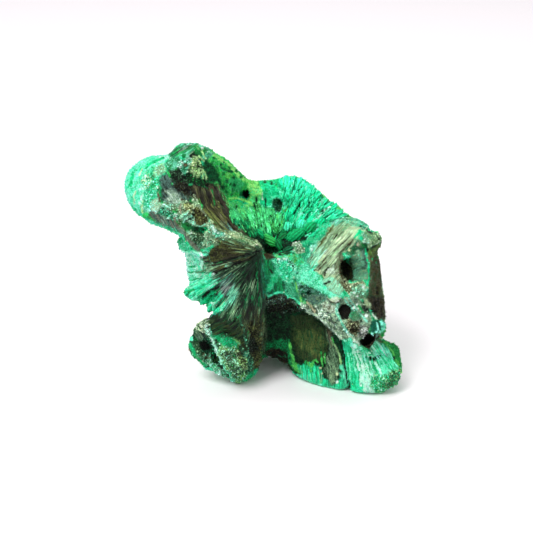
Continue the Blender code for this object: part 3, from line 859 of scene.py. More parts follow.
crestMarks = [
    ("lichen sage haze ash ash", (208, 219, 216, 226, 226, 231, 238, 235, 250, 240, 258, 245, 263, 251,
     258, 252, 250, 249, 240, 244, 228, 241, 218, 243, 212, 247, 206, 250, 203, 244, 207, 232), "crust",
     {"rise": 0.2}),
    ("olive lichen sage foam", (214, 224, 224, 227, 230, 232, 222, 233, 215, 230), "crust"),
    ("haze haze foam white", (211, 221, 215, 226, 218, 232, 225, 233, 226, 236, 216, 238, 213, 231),
     "crust"),
    ("fern sage ash cream", (228, 230, 240, 233, 252, 239, 260, 246, 256, 248, 244, 242, 230, 238), "crust",
     {"rise": 0.1}),
    ("line", "olive sage cream", (210, 220, 214, 224, 222, 231, 232, 235, 240, 237, 250, 241, 258, 246,
     261, 249), 1.5, 0.45, {"ragged": 0.9}),
    ("line", "white foam", (213, 225, 215, 231, 219, 233), 1.3, 0.3),
    ("lichen sage ash", (212, 244, 215, 237, 219, 240, 219, 245, 214, 250), "crust", {"rise": 0.3}),
    ("dots", "brown", (214, 224.5, 217.5, 238.5, 222.5, 242), 3),
    ("jade mint foam", (200, 253, 206, 247, 213, 244, 213, 248, 210, 251, 206, 258, 201, 257),
     {"rise": 0.3}),
    ("line", "black", (201.5, 258, 204, 262), 3.2, -0.6),
    ("line", "white", (200, 252, 203, 256, 206, 259), 1.5, 0.3),
    ("line", "white", (203, 263, 202, 269), 1.3, 0.2),
]
fanMarks = [
    ("black black pitch fir lichen", (262, 250, 265, 262, 266, 300, 262, 312, 250, 314, 242, 312, 234, 317,
     228, 318, 217, 314, 222, 306, 226, 298, 219, 292, 220, 285, 213, 277, 206, 273, 203, 262, 205, 256,
     214, 246, 228, 240, 245, 243), "silk", "fan"),
    ("black umber bark loam olive", (206, 255, 213, 248, 222, 241, 234, 240, 248, 246, 256, 250, 240, 255,
     222, 261, 210, 264), "silk", "fan", 0.2),
    ("black umber bark loam olive", (207, 256, 213, 248, 222, 243, 232, 243, 236, 250, 224, 260, 211, 264),
     "plain", {"soft": 6}),
    ("peat loam olive lichen sage", (228, 240, 240, 242, 252, 246, 256, 250, 246, 252, 236, 248), "silk",
     "fan", {"soft": 5}),
    ("black umber loam olive", (203, 262, 212, 265, 224, 263, 240, 258, 253, 254, 242, 264, 224, 270,
     208, 273), "silk", "fan"),
    ("black peat umber loam", (258, 254, 250, 262, 240, 271, 229, 277, 238, 266, 248, 258), "silk", "fan"),
    ("lichen sage foam", (203, 262, 212, 264, 214, 272, 204, 273), "crust"),
    ("lichen sage foam", (222, 268, 228, 264, 232, 263, 230, 267, 225, 270), "crust"),
    ("black lead slate haze", (214, 277, 226, 272, 238, 272, 233, 286, 226, 297, 219, 292, 220, 286), "silk",
     "fan"),
    ("black black pitch fir bottle", (236, 268, 250, 260, 264, 256, 264, 298, 260, 316, 246, 312, 241, 300,
     236, 284), "silk", "fan"),
    ("pitch fir lichen sage", (217, 316, 226, 302, 234, 286, 240, 284, 239, 300, 233, 318, 222, 320), "silk",
     "fan", 0.1),
    ("black pitch fir", (208, 312, 216, 309, 222, 313, 218, 320, 209, 320), "silk", "fan"),
    ("line", "black", (260, 251, 240, 256, 222, 261, 213, 263), 1.5, -0.2),
    ("rays",),
    ("line", "black", (256, 255, 240, 263, 225, 270, 207, 273), 2.6, -0.5),
    ("black pitch pitch fir", (262, 254, 252, 262, 243, 270, 244, 284, 256, 278, 263, 266), "silk", "fan",
     {"soft": 8}),
    ("black pitch fir lichen", (242, 290, 251, 287, 261, 288, 261, 300, 250, 301, 242, 299), "silk", "fan",
     {"soft": 7}),
    ("lead slate haze foam", (229, 290, 232, 283, 239, 289, 234, 303, 226, 305), "silk", "fan", {"soft": 6}),
    ("lines", "fir emerald", [(257, 262, 257.5, 280, 259, 298, 259, 312), (249, 282, 246, 300), (237, 318,
     238, 327), (244, 322, 244.5, 333), (252, 296, 255, 308)], 1.2, {"ragged": 0.8}),
    ("black peat loam lichen", (242, 308, 250, 304, 262, 308, 266, 322, 263, 345, 259, 367, 250, 370,
     247, 352, 242, 336, 239, 322), "silk", "fan", {"soft": 8}),
    ("black peat loam bark olive", (246, 322, 262, 318, 262, 345, 259, 366, 251, 368, 249, 345), "crust",
     {"soft": 8}),
    ("black pitch peat", (246, 338, 254, 336, 257, 350, 250, 354), "crust", {"soft": 7}),
    ("mint foam foam foam white", (181, 250, 199, 252, 203, 260, 202, 272, 208, 274, 203, 283, 190, 285,
     182, 284, 181, 262)),
    ("line", "emerald jade", (186, 266, 195, 267), 1.3, -0.2),
    ("line", "emerald holly", (186, 272.5, 198, 272, 211, 273), 1.4, -0.3),
    ("line", "emerald", (188, 281, 198, 278.5), 1.2, -0.2),
    ("line", "white foam", (206, 274, 213, 274, 216, 279), 2.2, 0.3),
    ("umber brown fir", (200, 279, 206, 275.5, 206, 280, 202, 283), {"rise": -0.5}),
]
fingersMarks = [
    ("emerald jade mint foam", (184, 298, 188, 287, 199, 281, 210, 275, 217, 278, 223, 281, 212, 289,
     204, 297, 198, 302, 188, 302), "silk", "fan"),
    ("bottle emerald jade mint", (200, 300, 208, 298, 216, 292, 222, 290, 227, 298, 222, 308, 218, 315,
     208, 316, 203, 308), "silk", "fan"),
    # painted shade in the gap between the fingers
    ("black pitch", (204, 298, 212, 289, 219, 284, 222, 286, 214, 292, 207, 299), {"rise": -0.8}),
    ("lead lead slate lilac", (221, 287, 226, 280, 233, 284, 230, 296, 224, 291), "silk", "fan"),
    ("line", "jade mint mint", (210, 276, 199, 284, 188, 292), 8, 0.9, "silk", "fan"),
    ("line", "jade mint mint", (218, 280, 208, 287, 199, 294), 7, 0.9, "silk", "fan"),
    ("line", "jade mint mint", (210, 294, 206, 298, 202, 302), 6, 0.9, "silk", "fan"),
    ("line", "jade mint mint", (221, 295, 215, 302, 209, 310), 5, 0.9, "silk", "fan"),
    ("line", "jade mint mint", (226, 303, 220, 309, 215, 315), 5, 0.9, "silk", "fan"),
    ("lines", "foam white", [(209, 275, 199, 282, 190, 288), (211, 278, 201, 285, 192, 292), (218, 278,
     209, 284, 201, 290), (217, 282, 208, 289), (209, 296, 205, 300), (219, 300, 214, 306), (226, 304,
     220, 310)], 1, 0.3, {"ragged": 0.8}),
    ("threads",),
    # painted shade: black lines in the gaps between the fingers
    ("line", "black pitch", (212, 280, 203, 288, 195, 295), 1.5, -0.9),
    ("line", "black pitch", (218, 285, 212, 289, 206, 293), 2.4, -0.9),
    ("line", "black pitch", (206, 293, 200, 297), 1.3, -0.9),
    ("line", "black pitch", (218, 291, 212, 299, 206, 305), 1.9, -0.9),
    ("line", "black pitch", (223, 298, 217, 306, 212, 313), 1.9, -0.9),
    ("jade mint mint foam", (195, 286, 205, 280, 214, 277, 218, 281, 208, 289, 198, 297, 192, 295), "silk",
     "fan", {"soft": 6}),
    ("emerald jade jade mint", (201, 300, 210, 292, 218, 289, 220, 293, 213, 300, 207, 306), {"rise": -0.3}),
    ("line", "black pitch", (220, 284, 212, 290.5, 204, 297.5), 3.2, -0.9, {"ragged": 0.5}),
    ("black pitch bottle", (214, 291, 220, 288, 219, 294, 214, 299, 211, 297), {"rise": -0.4, "soft": 2}),
    ("lines", "holly pitch", [(191, 291, 188, 296), (195, 293, 193, 297), (201, 293, 198, 297), (204, 304,
     202, 308)], 1.6, -0.4),
    ("line", "emerald fern", (187, 292, 193, 290, 200, 287), 2, -0.2),
]
tubeMarks = [
    ("pitch fir lichen haze", (184, 332, 190, 320, 200, 314, 214, 311, 228, 314, 240, 318, 246, 330,
     248, 345, 253, 360, 251, 372, 246, 380, 238, 385, 224, 383, 210, 374, 198, 367, 188, 355, 184, 342),
     "crust"),
    ("black pitch fir loam", (202, 318, 214, 313, 230, 316, 240, 320, 244, 335, 247, 350, 240, 344, 232, 337,
     222, 334, 214, 334, 209, 324), "silk", "shoulder"),
    ("fir sage ash cream white", (187, 331, 192, 321, 202, 316, 209, 320, 209, 331, 201, 334, 194, 332),
     "crust", {"rise": 0.4}),
    ("pitch fir fern haze", (192, 331, 206, 332, 211, 340, 215, 350, 222, 360, 225, 368, 214, 364, 203, 360,
     195, 350, 191, 340), "crust", {"rise": -0.4}),
    ("lead slate sage", (195, 332, 206, 331, 208, 338, 199, 340), "silk", "club"),
    ("black", (200, 341, 209, 341, 214, 347, 210, 354, 202, 350), {"rise": -0.6}),
    ("pitch fir leek jade", (213, 349, 220, 353, 223, 358, 214, 360, 210, 356), "crust"),
    ("fir lichen sage haze", (191, 340, 200, 342, 200, 350, 205, 358, 196, 356), "crust"),
    ("brown lichen sage foam", (203, 353, 211, 354, 213, 361, 204, 361), "crust"),
    ("line", "mint foam", (188, 333, 191, 340), 2.4),
    ("line", "fern jade", (190, 344, 195, 356, 205, 365), 3.4),
    ("line", "clay shell", (187, 343, 189, 350), 1.8),
    ("line", "lichen haze foam", (209, 329, 214, 342, 218, 350, 223, 360), 3.6, 0.7, "crust"),
    ("line", "foam white", (208, 326, 211, 334, 215, 343, 219, 352, 223, 361), 1.5, 0.3, {"ragged": 0.9}),
    ("line", "jade foam", (223, 360, 226, 368, 233, 378), 4.2, 0.5, "crust"),
    ("fern leek sage pear", (229, 337, 238, 340, 241, 350, 234, 349), "crust"),
    ("holly emerald jade haze", (212, 335, 222, 334, 232, 337, 238, 343, 237, 349, 231, 347, 224, 345,
     218, 341), {"rise": -0.1}),
    ("pitch fern lichen sage foam pear", (214, 339, 222, 346, 231, 347, 236, 346, 242, 355, 247, 364,
     247, 374, 240, 383, 233, 377, 226, 364, 219, 352), "crust", {"rise": 0.2}),
    ("umber olive sage pear", (235, 348, 240, 350, 246, 362, 246, 371, 241, 367, 237, 357), "crust",
     {"rise": 0.2}),
    ("umber olive lichen foam", (224, 352, 231, 353, 234, 359, 229, 362, 225, 358), "crust"),
    ("fern haze foam white", (205, 359, 214, 361, 222, 369, 227, 377, 219, 376, 210, 370), "crust"),
    ("black", (217, 365, 222, 363, 224, 368, 220, 370), {"rise": -0.6}),
    ("line", "black umber", (224, 371, 230, 376), 2.2, -0.4),
    ("line", "jade mint foam", (200, 366, 212, 371, 221, 378, 232, 381), 4.2),
]
bowlMarks = [
    ("emerald jade jade mint", (228, 202, 244, 196, 258, 180, 270, 176, 284, 174, 297, 173, 310, 180,
     322, 190, 334, 202, 346, 213, 338, 224, 325, 230, 312, 238, 300, 250, 280, 256, 262, 250, 250, 240,
     238, 229, 230, 218)),
    ("green lime pear", (244, 180, 252, 178, 259, 181, 262, 190, 259, 198, 252, 202, 248, 200, 250, 194,
     248, 188)),
    ("black pitch", (242.5, 190.5, 245, 191.5, 248.5, 190.5, 249, 195, 246.5, 198.5, 243.5, 195.5),
     {"rise": -1.6, "ragged": 0.5, "soft": 2}),
    ("fern grass pea lime", (226, 204, 234, 200, 241, 203, 241, 209, 236, 215, 230, 217, 227, 211),
     {"rise": 0.3}),
    ("grass lime pear", (241, 212, 243, 206, 249, 203, 256, 204, 259, 210, 257, 218, 250, 223, 246, 219,
     242, 221), {"rise": 0.4}),
    ("line", "lime pear", (229, 199, 236, 198.5, 242, 200, 250, 203, 256, 201, 259, 197, 262, 190), 2, 0.4),
    ("green jade jade mint", (258, 182, 268, 178, 279, 180, 283, 190, 276, 196, 262, 193)),
    ("dots", "fir", (265, 182, 271, 183), 4),
    ("dots", "jade mint", (266, 200), 11, 0.2),
    ("line", "mint foam", (259.5, 198, 260, 204, 265, 208, 271, 206.5, 274, 200, 271, 194), 1.6, 0.35),
    # painted highlights on the round mint cell
    ("line", "white", (262, 193, 262.5, 199), 1.3),
    ("line", "foam", (268, 193, 271, 196.5), 1.4),
    ("bottle jade jade mint", (279, 181, 285, 174, 297, 173, 310, 180, 322, 190, 334, 202, 346, 214,
     335, 224, 325, 228, 316, 223, 303, 224, 293, 228, 288, 216, 284, 204, 278, 195), "cells", "bowl"),
    ("bottle jade mint mint", (281, 184, 290, 178, 303, 181, 310, 190, 312, 203, 304, 214, 292, 214,
     286, 204), "cells", "bowl", {"soft": 7}),
    ("pea lime pear", (250, 188, 260, 187, 262, 196, 258, 202, 250, 200), {"soft": 3}),
    ("pea pea lime", (250, 198, 256, 196, 261, 198, 259, 204, 251, 203), {"soft": 3}),
    ("mint foam foam", (271, 189, 279, 187, 284, 192, 283, 198, 276, 198, 271, 198), {"soft": 4}),
    ("jade jade mint", (267, 187, 276, 186, 283, 192, 282, 197, 274, 196, 268, 197)),
    ("bottle emerald jade mint", (309, 200, 318, 199, 321, 206, 316, 211, 309, 209), "cells", "bowl",
     {"soft": 6}),
    ("bottle jade mint mint", (320, 206, 328, 205, 341, 213, 338, 219, 325, 225, 317, 218), "cells", "bowl"),
    ("bottle emerald jade mint", (284, 216, 298, 220, 312, 222, 324, 220, 330, 222, 322, 228, 306, 232,
     292, 232, 284, 226), "cells", "bowl", {"soft": 6}),
    ("line", "white ice", (311, 221, 318, 218, 322, 212, 330, 207), 2.2, 0.3),
    ("lines", "black", [(318, 208.5, 321, 203), (322, 208, 323.5, 204), (323, 213, 322, 211)], 2.2, -1),
    ("line", "holly", (315, 203, 318, 207), 3, -0.5),
    ("lines", "pitch bottle", [(309, 202, 307, 207), (312, 207, 310, 212), (318, 213, 315, 218), (304, 197,
     303, 202), (299, 205, 298, 211), (327, 209, 324, 214), (308, 214, 306, 219)], 2.1, -0.9),
    ("line", "leek pea lime", (286, 175, 297, 174, 308, 180, 320, 190, 332, 200, 345, 213), 6.5,
     {"grain": "velvet"}),
    # painted shade: dark floor of the bowl below the buds
    ("black pitch bottle holly", (243, 224, 252, 221, 258, 222, 263, 228, 275, 234, 290, 240, 294, 247,
     302, 252, 285, 256, 268, 255, 258, 246, 248, 240, 242, 232)),
    ("pitch green pea pea", (228, 206, 240, 210, 258, 203, 272, 210, 284, 214, 284, 228, 274, 234, 264, 232,
     250, 224, 238, 224), "curtain", "bowlLeft"),
    ("black pitch bottle emerald", (230, 214, 238, 216, 246, 220, 258, 226, 272, 231, 286, 228, 300, 226,
     296, 240, 280, 240, 262, 236, 246, 230), "curtain", "bowlLeft"),
    # painted shade: the floor of the bowl darkens further around and under the buds
    ("black black pitch bottle", (246, 232, 256, 230, 268, 236, 282, 234, 292, 231, 304, 230, 314, 228,
     312, 234, 304, 246, 292, 254, 276, 256, 262, 250, 252, 240), {"soft": 5}),
    ("black pitch bottle", (262, 246, 272, 250, 282, 248, 292, 246, 300, 252, 290, 256, 276, 256, 266, 254),
     {"rise": -0.3}),
    ("gaps",),
    # painted shade in a round hollow, with a pale rim after it
    ("bottle teal lichen haze", (273, 200, 277, 198, 281, 199.5, 283, 205, 281, 210, 278, 213, 275, 210,
     272, 205), "crust", {"rise": -0.6, "ragged": 0.5, "soft": 2}),
    ("line", "mint", (272, 199, 277, 196, 283, 199, 285, 206), 1.5, 0.3),
]
bridgeMarks = [
    ("teal emerald haze mint foam", (262, 256, 275, 256, 285, 255, 297, 255, 307, 255, 311, 264, 302, 280,
     297, 285, 302, 304, 292, 298, 285, 292, 276, 293, 268, 297, 263, 292, 263, 270)),
    ("leek green haze mint", (272, 254, 284, 253, 298, 255, 305, 262, 303, 271, 297, 267, 288, 260,
     275, 258)),
    ("umber brown", (262, 252, 272, 253, 277, 258, 268, 261, 263, 258)),
    ("fir mint foam foam white", (276, 259, 285, 257, 292, 261, 296, 268, 292, 273, 284, 271, 279, 268),
     "crust", {"rise": 0.3}),
    ("pitch holly teal emerald", (262, 258, 271, 260, 276, 274, 286, 282, 286, 292, 268, 297, 262, 292),
     "combed", "side", {"soft": 6}),
    ("fir emerald haze", (286, 280, 296, 278, 302, 290, 302, 303, 293, 297, 286, 291), "combed", "bridge",
     {"soft": 5}),
    ("dots", "black", (281, 264, 292.5, 266.5, 297, 273), 2.2, -0.5),
    ("line", "black", (270, 270, 275, 276), 1.5, -0.4),
    ("line", "pitch", (302, 274, 300, 277), 1.4, -0.3),
    ("dots", "white", (286.5, 280.5, 283.5, 259, 278, 259), 2),
    ("dots", "shell", (294, 278), 2),
    ("jade mint foam foam", (279, 261, 288, 261, 293, 270, 291, 280, 282, 282, 278, 272), "crust",
     {"soft": 5}),
    ("emerald jade haze", (267, 288, 270, 278, 276, 271, 279, 275, 274, 284, 271, 291), {"soft": 5}),
    ("line", "lime olive", (296, 283, 297, 290, 300, 294, 301.5, 302), 1.7, 0.35),
    ("line", "haze mint", (267, 296, 275, 293.5, 283, 292, 290, 297, 297, 300, 303, 304), 1.5, 0.2,
     {"ragged": 1.1}),
    ("teal emerald jade haze", (291, 251, 297, 243, 306, 242, 312, 234, 322, 226, 332, 220, 339, 223,
     328, 232, 320, 243, 313, 255, 308, 262, 300, 256)),
    ("line", "jade mint", (309, 237, 320, 228, 331, 221), 1.8, 0.2),
    ("fir sage ash white", (292, 249, 295, 244, 301, 244, 305, 248, 304, 253, 296, 254), "crust",
     {"rise": 0.7, "soft": 2.6}),
    ("line", "black", (280, 254, 290, 253.5), 1.8, -0.4),
]
hoodMarks = [
    ("lichen sage ash ash cream", (308, 264, 312, 255, 320, 243, 327, 232, 336, 223, 346, 222, 358, 225,
     366, 230, 362, 236, 355, 241, 350, 249, 342, 254, 339, 262, 337, 275, 340, 281, 335, 287, 328, 284,
     322, 276, 312, 273), "silk", "hood", 0.1),
    ("emerald mint foam foam", (299, 273, 305, 262, 311, 262, 314, 272, 322, 277, 327, 285, 338, 287,
     345, 291, 341, 298, 333, 300, 325, 294, 316, 291, 308, 288, 302, 282), {"rise": 0.1}),
    ("haze mint foam", (304, 262, 309, 254, 316, 250, 318, 262, 314, 272, 305, 272), "crust"),
    ("haze foam foam white", (311, 247, 316, 241, 321, 240, 318, 250, 312, 252), "crust", {"soft": 4}),
    ("haze sage foam", (336, 222, 340, 217, 350, 216, 358, 219, 358, 226, 346, 227), "crust"),
    ("fir lichen haze ash foam", (306, 262, 312, 252, 320, 242, 330, 230, 335, 234, 325, 248, 317, 262,
     310, 267), "silk", "hood"),
    ("olive lichen sage ash", (318, 243, 326, 238, 332, 243, 328, 252, 320, 252), "silk", "hood",
     {"soft": 6}),
    ("lichen haze foam foam", (331, 221, 338, 219, 341, 226, 337, 231, 331, 230), "silk", "hood",
     {"soft": 4}),
    ("jade mint foam", (316, 222, 324, 219, 331, 223, 328, 231, 320, 232), "crust", {"soft": 4}),
    ("olive sage sage ash", (328, 229, 336, 226, 343, 230, 340, 240, 332, 242, 327, 238), "silk", "hood",
     {"soft": 6}),
    ("lichen sage ash foam", (322, 280, 330, 276, 340, 281, 346, 289, 340, 296, 330, 292), "combed", "hood"),
    ("line", "olive brown", (333, 226, 325, 238, 318, 247, 311, 259), 1.8),
    ("lines", "umber", [(329, 243.5, 333, 238.5), (334, 239, 337, 235)], 2.2, -0.4),
    ("lines", "brown umber", [(338, 247, 347, 240), (340, 253, 351, 243), (343, 249, 353, 240), (336, 250,
     342, 243), (314, 271, 320, 265, 327, 258), (318, 271, 326, 263)], 1.1, -0.35, {"ragged": 1.1}),
    ("dots", "slate white", (325.5, 253), 6, 0.1),
    ("dots", "brown", (330, 256, 335, 251), 3.2),
    ("lines", "umber", [(323.5, 272, 328, 268), (325, 272, 324.5, 275)], 2.2, -0.5),
    ("line", "black", (325, 284.5, 329.5, 281.5), 2.2, -0.5),
    ("line", "brown", (331, 268, 337, 262.5), 1.7, -0.2),
    ("lilac white sage", (327, 271, 334, 265, 338, 268, 335, 274, 329, 275)),
    ("jade mint", (353, 236, 358, 230, 363, 231, 364, 238, 361, 245, 355, 243), {"rise": 0.3}),
    ("lichen sage foam white", (363, 231, 369, 235, 373, 240, 367, 248, 362, 247, 362, 238), "crust",
     {"rise": 0.3}),
    ("fir bottle fern", (360, 243, 366, 240, 370, 246, 366, 251, 360, 250), {"soft": 4}),
    ("lichen leek sage ash", (364, 227, 372, 231, 380, 232, 385, 238, 384, 243, 375, 245, 368, 250,
     368, 240), "crust", {"rise": 0.2}),
    ("bottle bottle fir lichen", (345, 249, 355, 245, 362, 247, 365, 251, 355, 255, 347, 255)),
    ("bottle lichen sage", (354, 240, 361, 241, 362, 248, 356, 248)),
    ("line", "bottle fir", (354, 251, 361, 249.5, 368, 247), 4.5),
    ("dots", "shell", (358.5, 244.5), 3.4, 0.3),
    ("dots", "cream", (349.5, 250, 363, 257.5), 3, 0.2),
    ("dots", "black", (378, 239.5), 2.2),
    ("fir haze haze foam", (355, 219, 358, 216, 366, 215, 371, 221, 373, 231, 366, 229, 360, 226), "plain"),
    ("line", "black", (361, 226, 366, 229, 372, 232), 1.8, -0.5),
]
eyeMarks = [
    ("umber brown clay sage", (334, 258, 341, 253, 345, 262, 344, 276, 347, 283, 339, 283, 335, 274),
     "combed", "side"),
    ("slate lichen haze sage", (350, 257, 357, 251, 366, 251, 368, 262, 368, 279, 360, 281, 352, 281,
     350, 268), "combed", "eyeFacet"),
    ("lead fir slate", (362, 250, 368, 250, 368, 270, 363, 268), "combed", "eyeFacet", {"soft": 7}),
    ("black peat fir lichen", (347, 257, 352, 257, 355, 266, 355, 280, 350, 281), "combed", "eyeFacet",
     {"soft": 7}),
    ("black black umber loam", (342, 260, 346, 260, 349, 267, 352, 276, 353, 281, 347, 280, 343, 276,
     341, 268), {"rise": -0.9, "soft": 3}),
    ("line", "brown clay sage", (340, 260, 341, 268, 343, 277, 347, 281), 2, 0.1),
    ("peat loam clay lichen sage", (367, 250, 374, 246, 383, 242, 384, 256, 381, 264, 383, 280, 386, 296,
     388, 310, 387, 324, 378, 321, 372, 313, 368, 300, 367, 285, 368, 265), "plain"),
    ("fir olive leek", (366, 250, 374, 246, 383, 242, 384, 256, 380, 266, 372, 260), "plain"),
    ("black peat umber brown", (368, 296, 378, 290, 384, 300, 386, 318, 378, 320, 370, 310), "plain",
     {"soft": 6}),
    ("fir loam brown bark", (370, 256, 380, 256, 383, 278, 384, 296, 369, 296, 370, 274), "plain",
     {"soft": 6}),
    ("dots", "green jade", (378, 257, 376, 262, 372, 259), 1.6, 0.1),
    ("line", "pitch black", (382, 241, 374, 247, 366, 250.5), 2.4, -0.4),
    ("line", "leek sage", (383, 288, 386, 302, 387, 314), 2.6),
    ("lines", "black", [(377, 288, 378, 294), (375.5, 302, 376, 306), (372, 309, 375, 312)], 2.6, -0.7),
    ("dots", "black", (381.5, 309, 374, 297), 2, -0.3),
    ("line", "emerald jade mint", (365.5, 249, 367.5, 257, 368.5, 266, 368.4, 279, 367, 285, 366, 294), 1.1,
     0.35, {"ragged": 0.9}),
    ("brown sage cream shell", (338, 280, 350, 282, 364, 281, 366, 290, 365, 300, 357, 299, 349, 296,
     344, 291, 339, 286), "crust", {"rise": 0.2}),
    ("sage foam white", (350, 290, 360, 289, 362, 300, 357, 303, 350, 299), "crust", {"soft": 4}),
    ("lichen sage foam", (351, 285, 361, 284, 366, 290, 365, 300, 357, 298, 351, 293), "crust"),
    ("line", "brown", (342, 283, 346, 291), 1.7),
    ("dots", "umber", (344.5, 281.5, 348.5, 287), 2.4, -0.3),
    ("dots", "white", (354, 292.5, 357, 296, 363, 287), 2.6),
]
ridgeMarks = [
    ("lead slate sage ash", (301, 304, 310, 303, 318, 300, 325, 297, 334, 301, 345, 297, 353, 296, 361, 301,
     367, 306, 371, 314, 373, 322, 367, 330, 369, 338, 361, 347, 352, 344, 343, 339, 334, 332, 326, 325,
     318, 317, 309, 311), "plain"),
    ("fir slate haze foam", (297, 281, 303, 284, 310, 288, 320, 292, 327, 297, 322, 303, 312, 304, 303, 299,
     299, 294), "crust", {"rise": -0.3}),
    ("line", "bottle emerald", (302, 292, 309, 293, 315, 294), 1.7),
    ("slate lichen sage", (304, 296, 314, 294, 324, 298, 320, 303, 310, 303), "crust"),
    ("black slate sage ash white", (302, 303, 314, 305, 324, 309, 333, 313, 340, 334, 328, 324, 318, 316,
     306, 309), "crust", {"soft": 5}),
    ("black umber lead slate sage", (340, 322, 344, 321, 350, 325, 351, 332, 343, 332), "crust",
     {"soft": 4}),
    ("slate sage ash white", (329, 311, 337, 312, 340, 319, 335, 321, 329, 317), "crust", {"soft": 4}),
    ("clay ash white", (321, 303, 330, 304, 337, 307, 338, 312, 330, 313, 323, 308), "crust", {"rise": 0.2}),
    ("sage cream white", (329, 299, 334, 297, 341, 297, 338, 302, 332, 302), {"rise": 0.2}),
    ("line", "black umber", (328, 299.5, 332, 303, 337, 303, 342, 298), 1.2, -0.3),
    ("line", "olive shell", (307, 302, 311, 307, 315, 312), 1.8),
    ("line", "slate ash white", (308, 311, 318, 316.5, 326, 323.5, 333, 331, 342, 338.5), 2, 0.2),
    ("line", "lead", (331, 320, 335, 328), 1.4, -0.3),
    ("black umber", (339, 308, 344, 305, 349, 306, 350, 312, 346, 319, 342, 319, 339, 313), {"rise": -1}),
    ("line", "haze foam white", (338, 304, 336.5, 311, 339, 318, 342, 323, 346, 330, 352, 337), 3, 0.4,
     "crust"),
    ("umber brown cream", (346, 319, 352, 320, 358, 321, 360, 328, 356, 337, 350, 332, 347, 326), "crust"),
    ("lead clay lilac white", (358, 326, 366, 324, 369, 330, 365, 338, 358, 337), "crust"),
    ("lichen emerald slate", (350, 308, 357, 310, 362, 318, 352, 321, 350, 314), "crust"),
    ("lines", "slate foam", [(345, 299, 350, 306, 354, 311), (349, 298, 356, 309, 362, 316, 367, 322)], 1.5,
     0.25),
    ("dots", "white", (357, 304, 358.5, 308, 354, 308, 366, 316), 2.6, 0.3),
    ("line", "white ash", (373, 314, 376, 319), 2.4, 0.2),
    ("black umber fir slate sage", (361, 302, 366, 301, 370, 307, 370, 313, 365, 312, 362, 307), "crust",
     {"soft": 4}),
    ("line", "emerald fern", (359, 306, 363, 312), 2.8),
    ("dots", "black", (356.5, 322, 361, 321, 352, 306), 2.2, -0.3),
    ("ash cream lichen", (364, 298, 370, 302, 372, 310, 366, 308), "crust"),
    ("teal fir", (369, 325, 373, 320, 380, 320, 386, 325, 385, 332, 377, 332, 372, 334, 369, 330),
     {"rise": 0.3}),
    ("line", "mint ice", (380, 323, 383, 326, 382, 330), 3.6, 0.3),
    ("line", "ice", (376, 323, 377, 329), 1.6, 0.3),
    ("dots", "ice", (372, 333.5, 375.5, 331.5, 379, 331), 2.4, 0.4),
    ("black umber", (361, 339, 367, 334, 373, 335, 378, 332, 381, 336, 382, 342, 376, 344, 373, 351,
     367, 350, 363, 346), {"rise": -0.9}),
    ("umber brown clay", (366, 343, 374, 342, 374, 350, 368, 350), "crust"),
    ("line", "slate", (379, 336, 376, 343), 2.8),
    ("line", "clay", (381, 333, 382, 341), 1.6),
    ("line", "ash white", (350, 336, 355, 341, 359, 345), 2.6, 0.2),
]
noseMarks = [
    ("emerald jade mint foam", (343, 340, 350, 338, 357, 344, 364, 350, 370, 351, 376, 344, 382, 342,
     391, 348, 398, 357, 404, 366, 406, 374, 400, 385, 390, 395, 376, 398, 360, 396, 348, 392, 345, 384,
     345, 364, 343, 350), "silk", "noseLeft"),
    ("emerald jade mint mint mint", (343, 342, 350, 341, 358, 350, 364, 358, 370, 368, 374, 380, 372, 397,
     358, 395, 349, 391, 346, 380, 345, 364), "ribs", "noseLeft"),
    ("jade mint mint foam", (341, 366, 348, 364, 351, 372, 351, 384, 345, 384, 342, 376), "ribs", "noseLeft",
     {"soft": 5}),
    # painted highlight on the nose's middle ridge
    ("mint foam foam white", (352, 343, 358, 348, 364, 357, 370, 366, 376, 380, 372, 394, 364, 388, 360, 374,
     356, 362), "ribs", "noseLeft", 0.3, {"soft": 6}),
    ("holly jade mint foam", (367, 357, 380, 356, 392, 360, 398, 368, 388, 376, 374, 374), "ribs",
     "noseRight"),
    ("emerald mint foam ice white", (371, 350, 377, 343, 383, 343, 391, 350, 389, 357, 380, 356, 372, 357),
     "silk", "noseRight"),
    ("noseThreads",),
    ("line", "pitch bottle holly", (366, 358, 372, 360.5, 379, 357, 386, 355), 3, -0.45),
    ("dots", "black pitch", (371, 359, 378, 358.5), 4, -0.3),
    ("fern jade mint foam pear", (370, 376, 380, 374, 392, 376, 396, 384, 388, 393, 374, 394, 370, 384),
     "crust"),
    ("fir fern jade sage pear", (388, 375, 394, 368, 401, 368, 404, 374, 399, 384, 388, 392, 382, 387,
     386, 380), "crust", {"rise": 0.1, "soft": 5}),
    ("bottle fern green", (380, 331, 386, 327, 393, 338, 399, 347, 402, 359, 405, 368, 398, 367, 392, 357,
     388, 349, 383, 342)),
    ("line", "pitch", (385, 334, 391, 342), 2.4, -0.4),
    ("line", "fern lime", (384, 342, 392, 352, 398, 365), 1.6, 0.2),
    ("dots", "pitch", (394, 358), 3, -0.3),
    ("line", "black", (341, 341, 344, 355, 345, 370, 347, 384), 1.9, -0.6),
    ("line", "pitch", (349, 380, 349, 388), 2.2, -0.5),
]
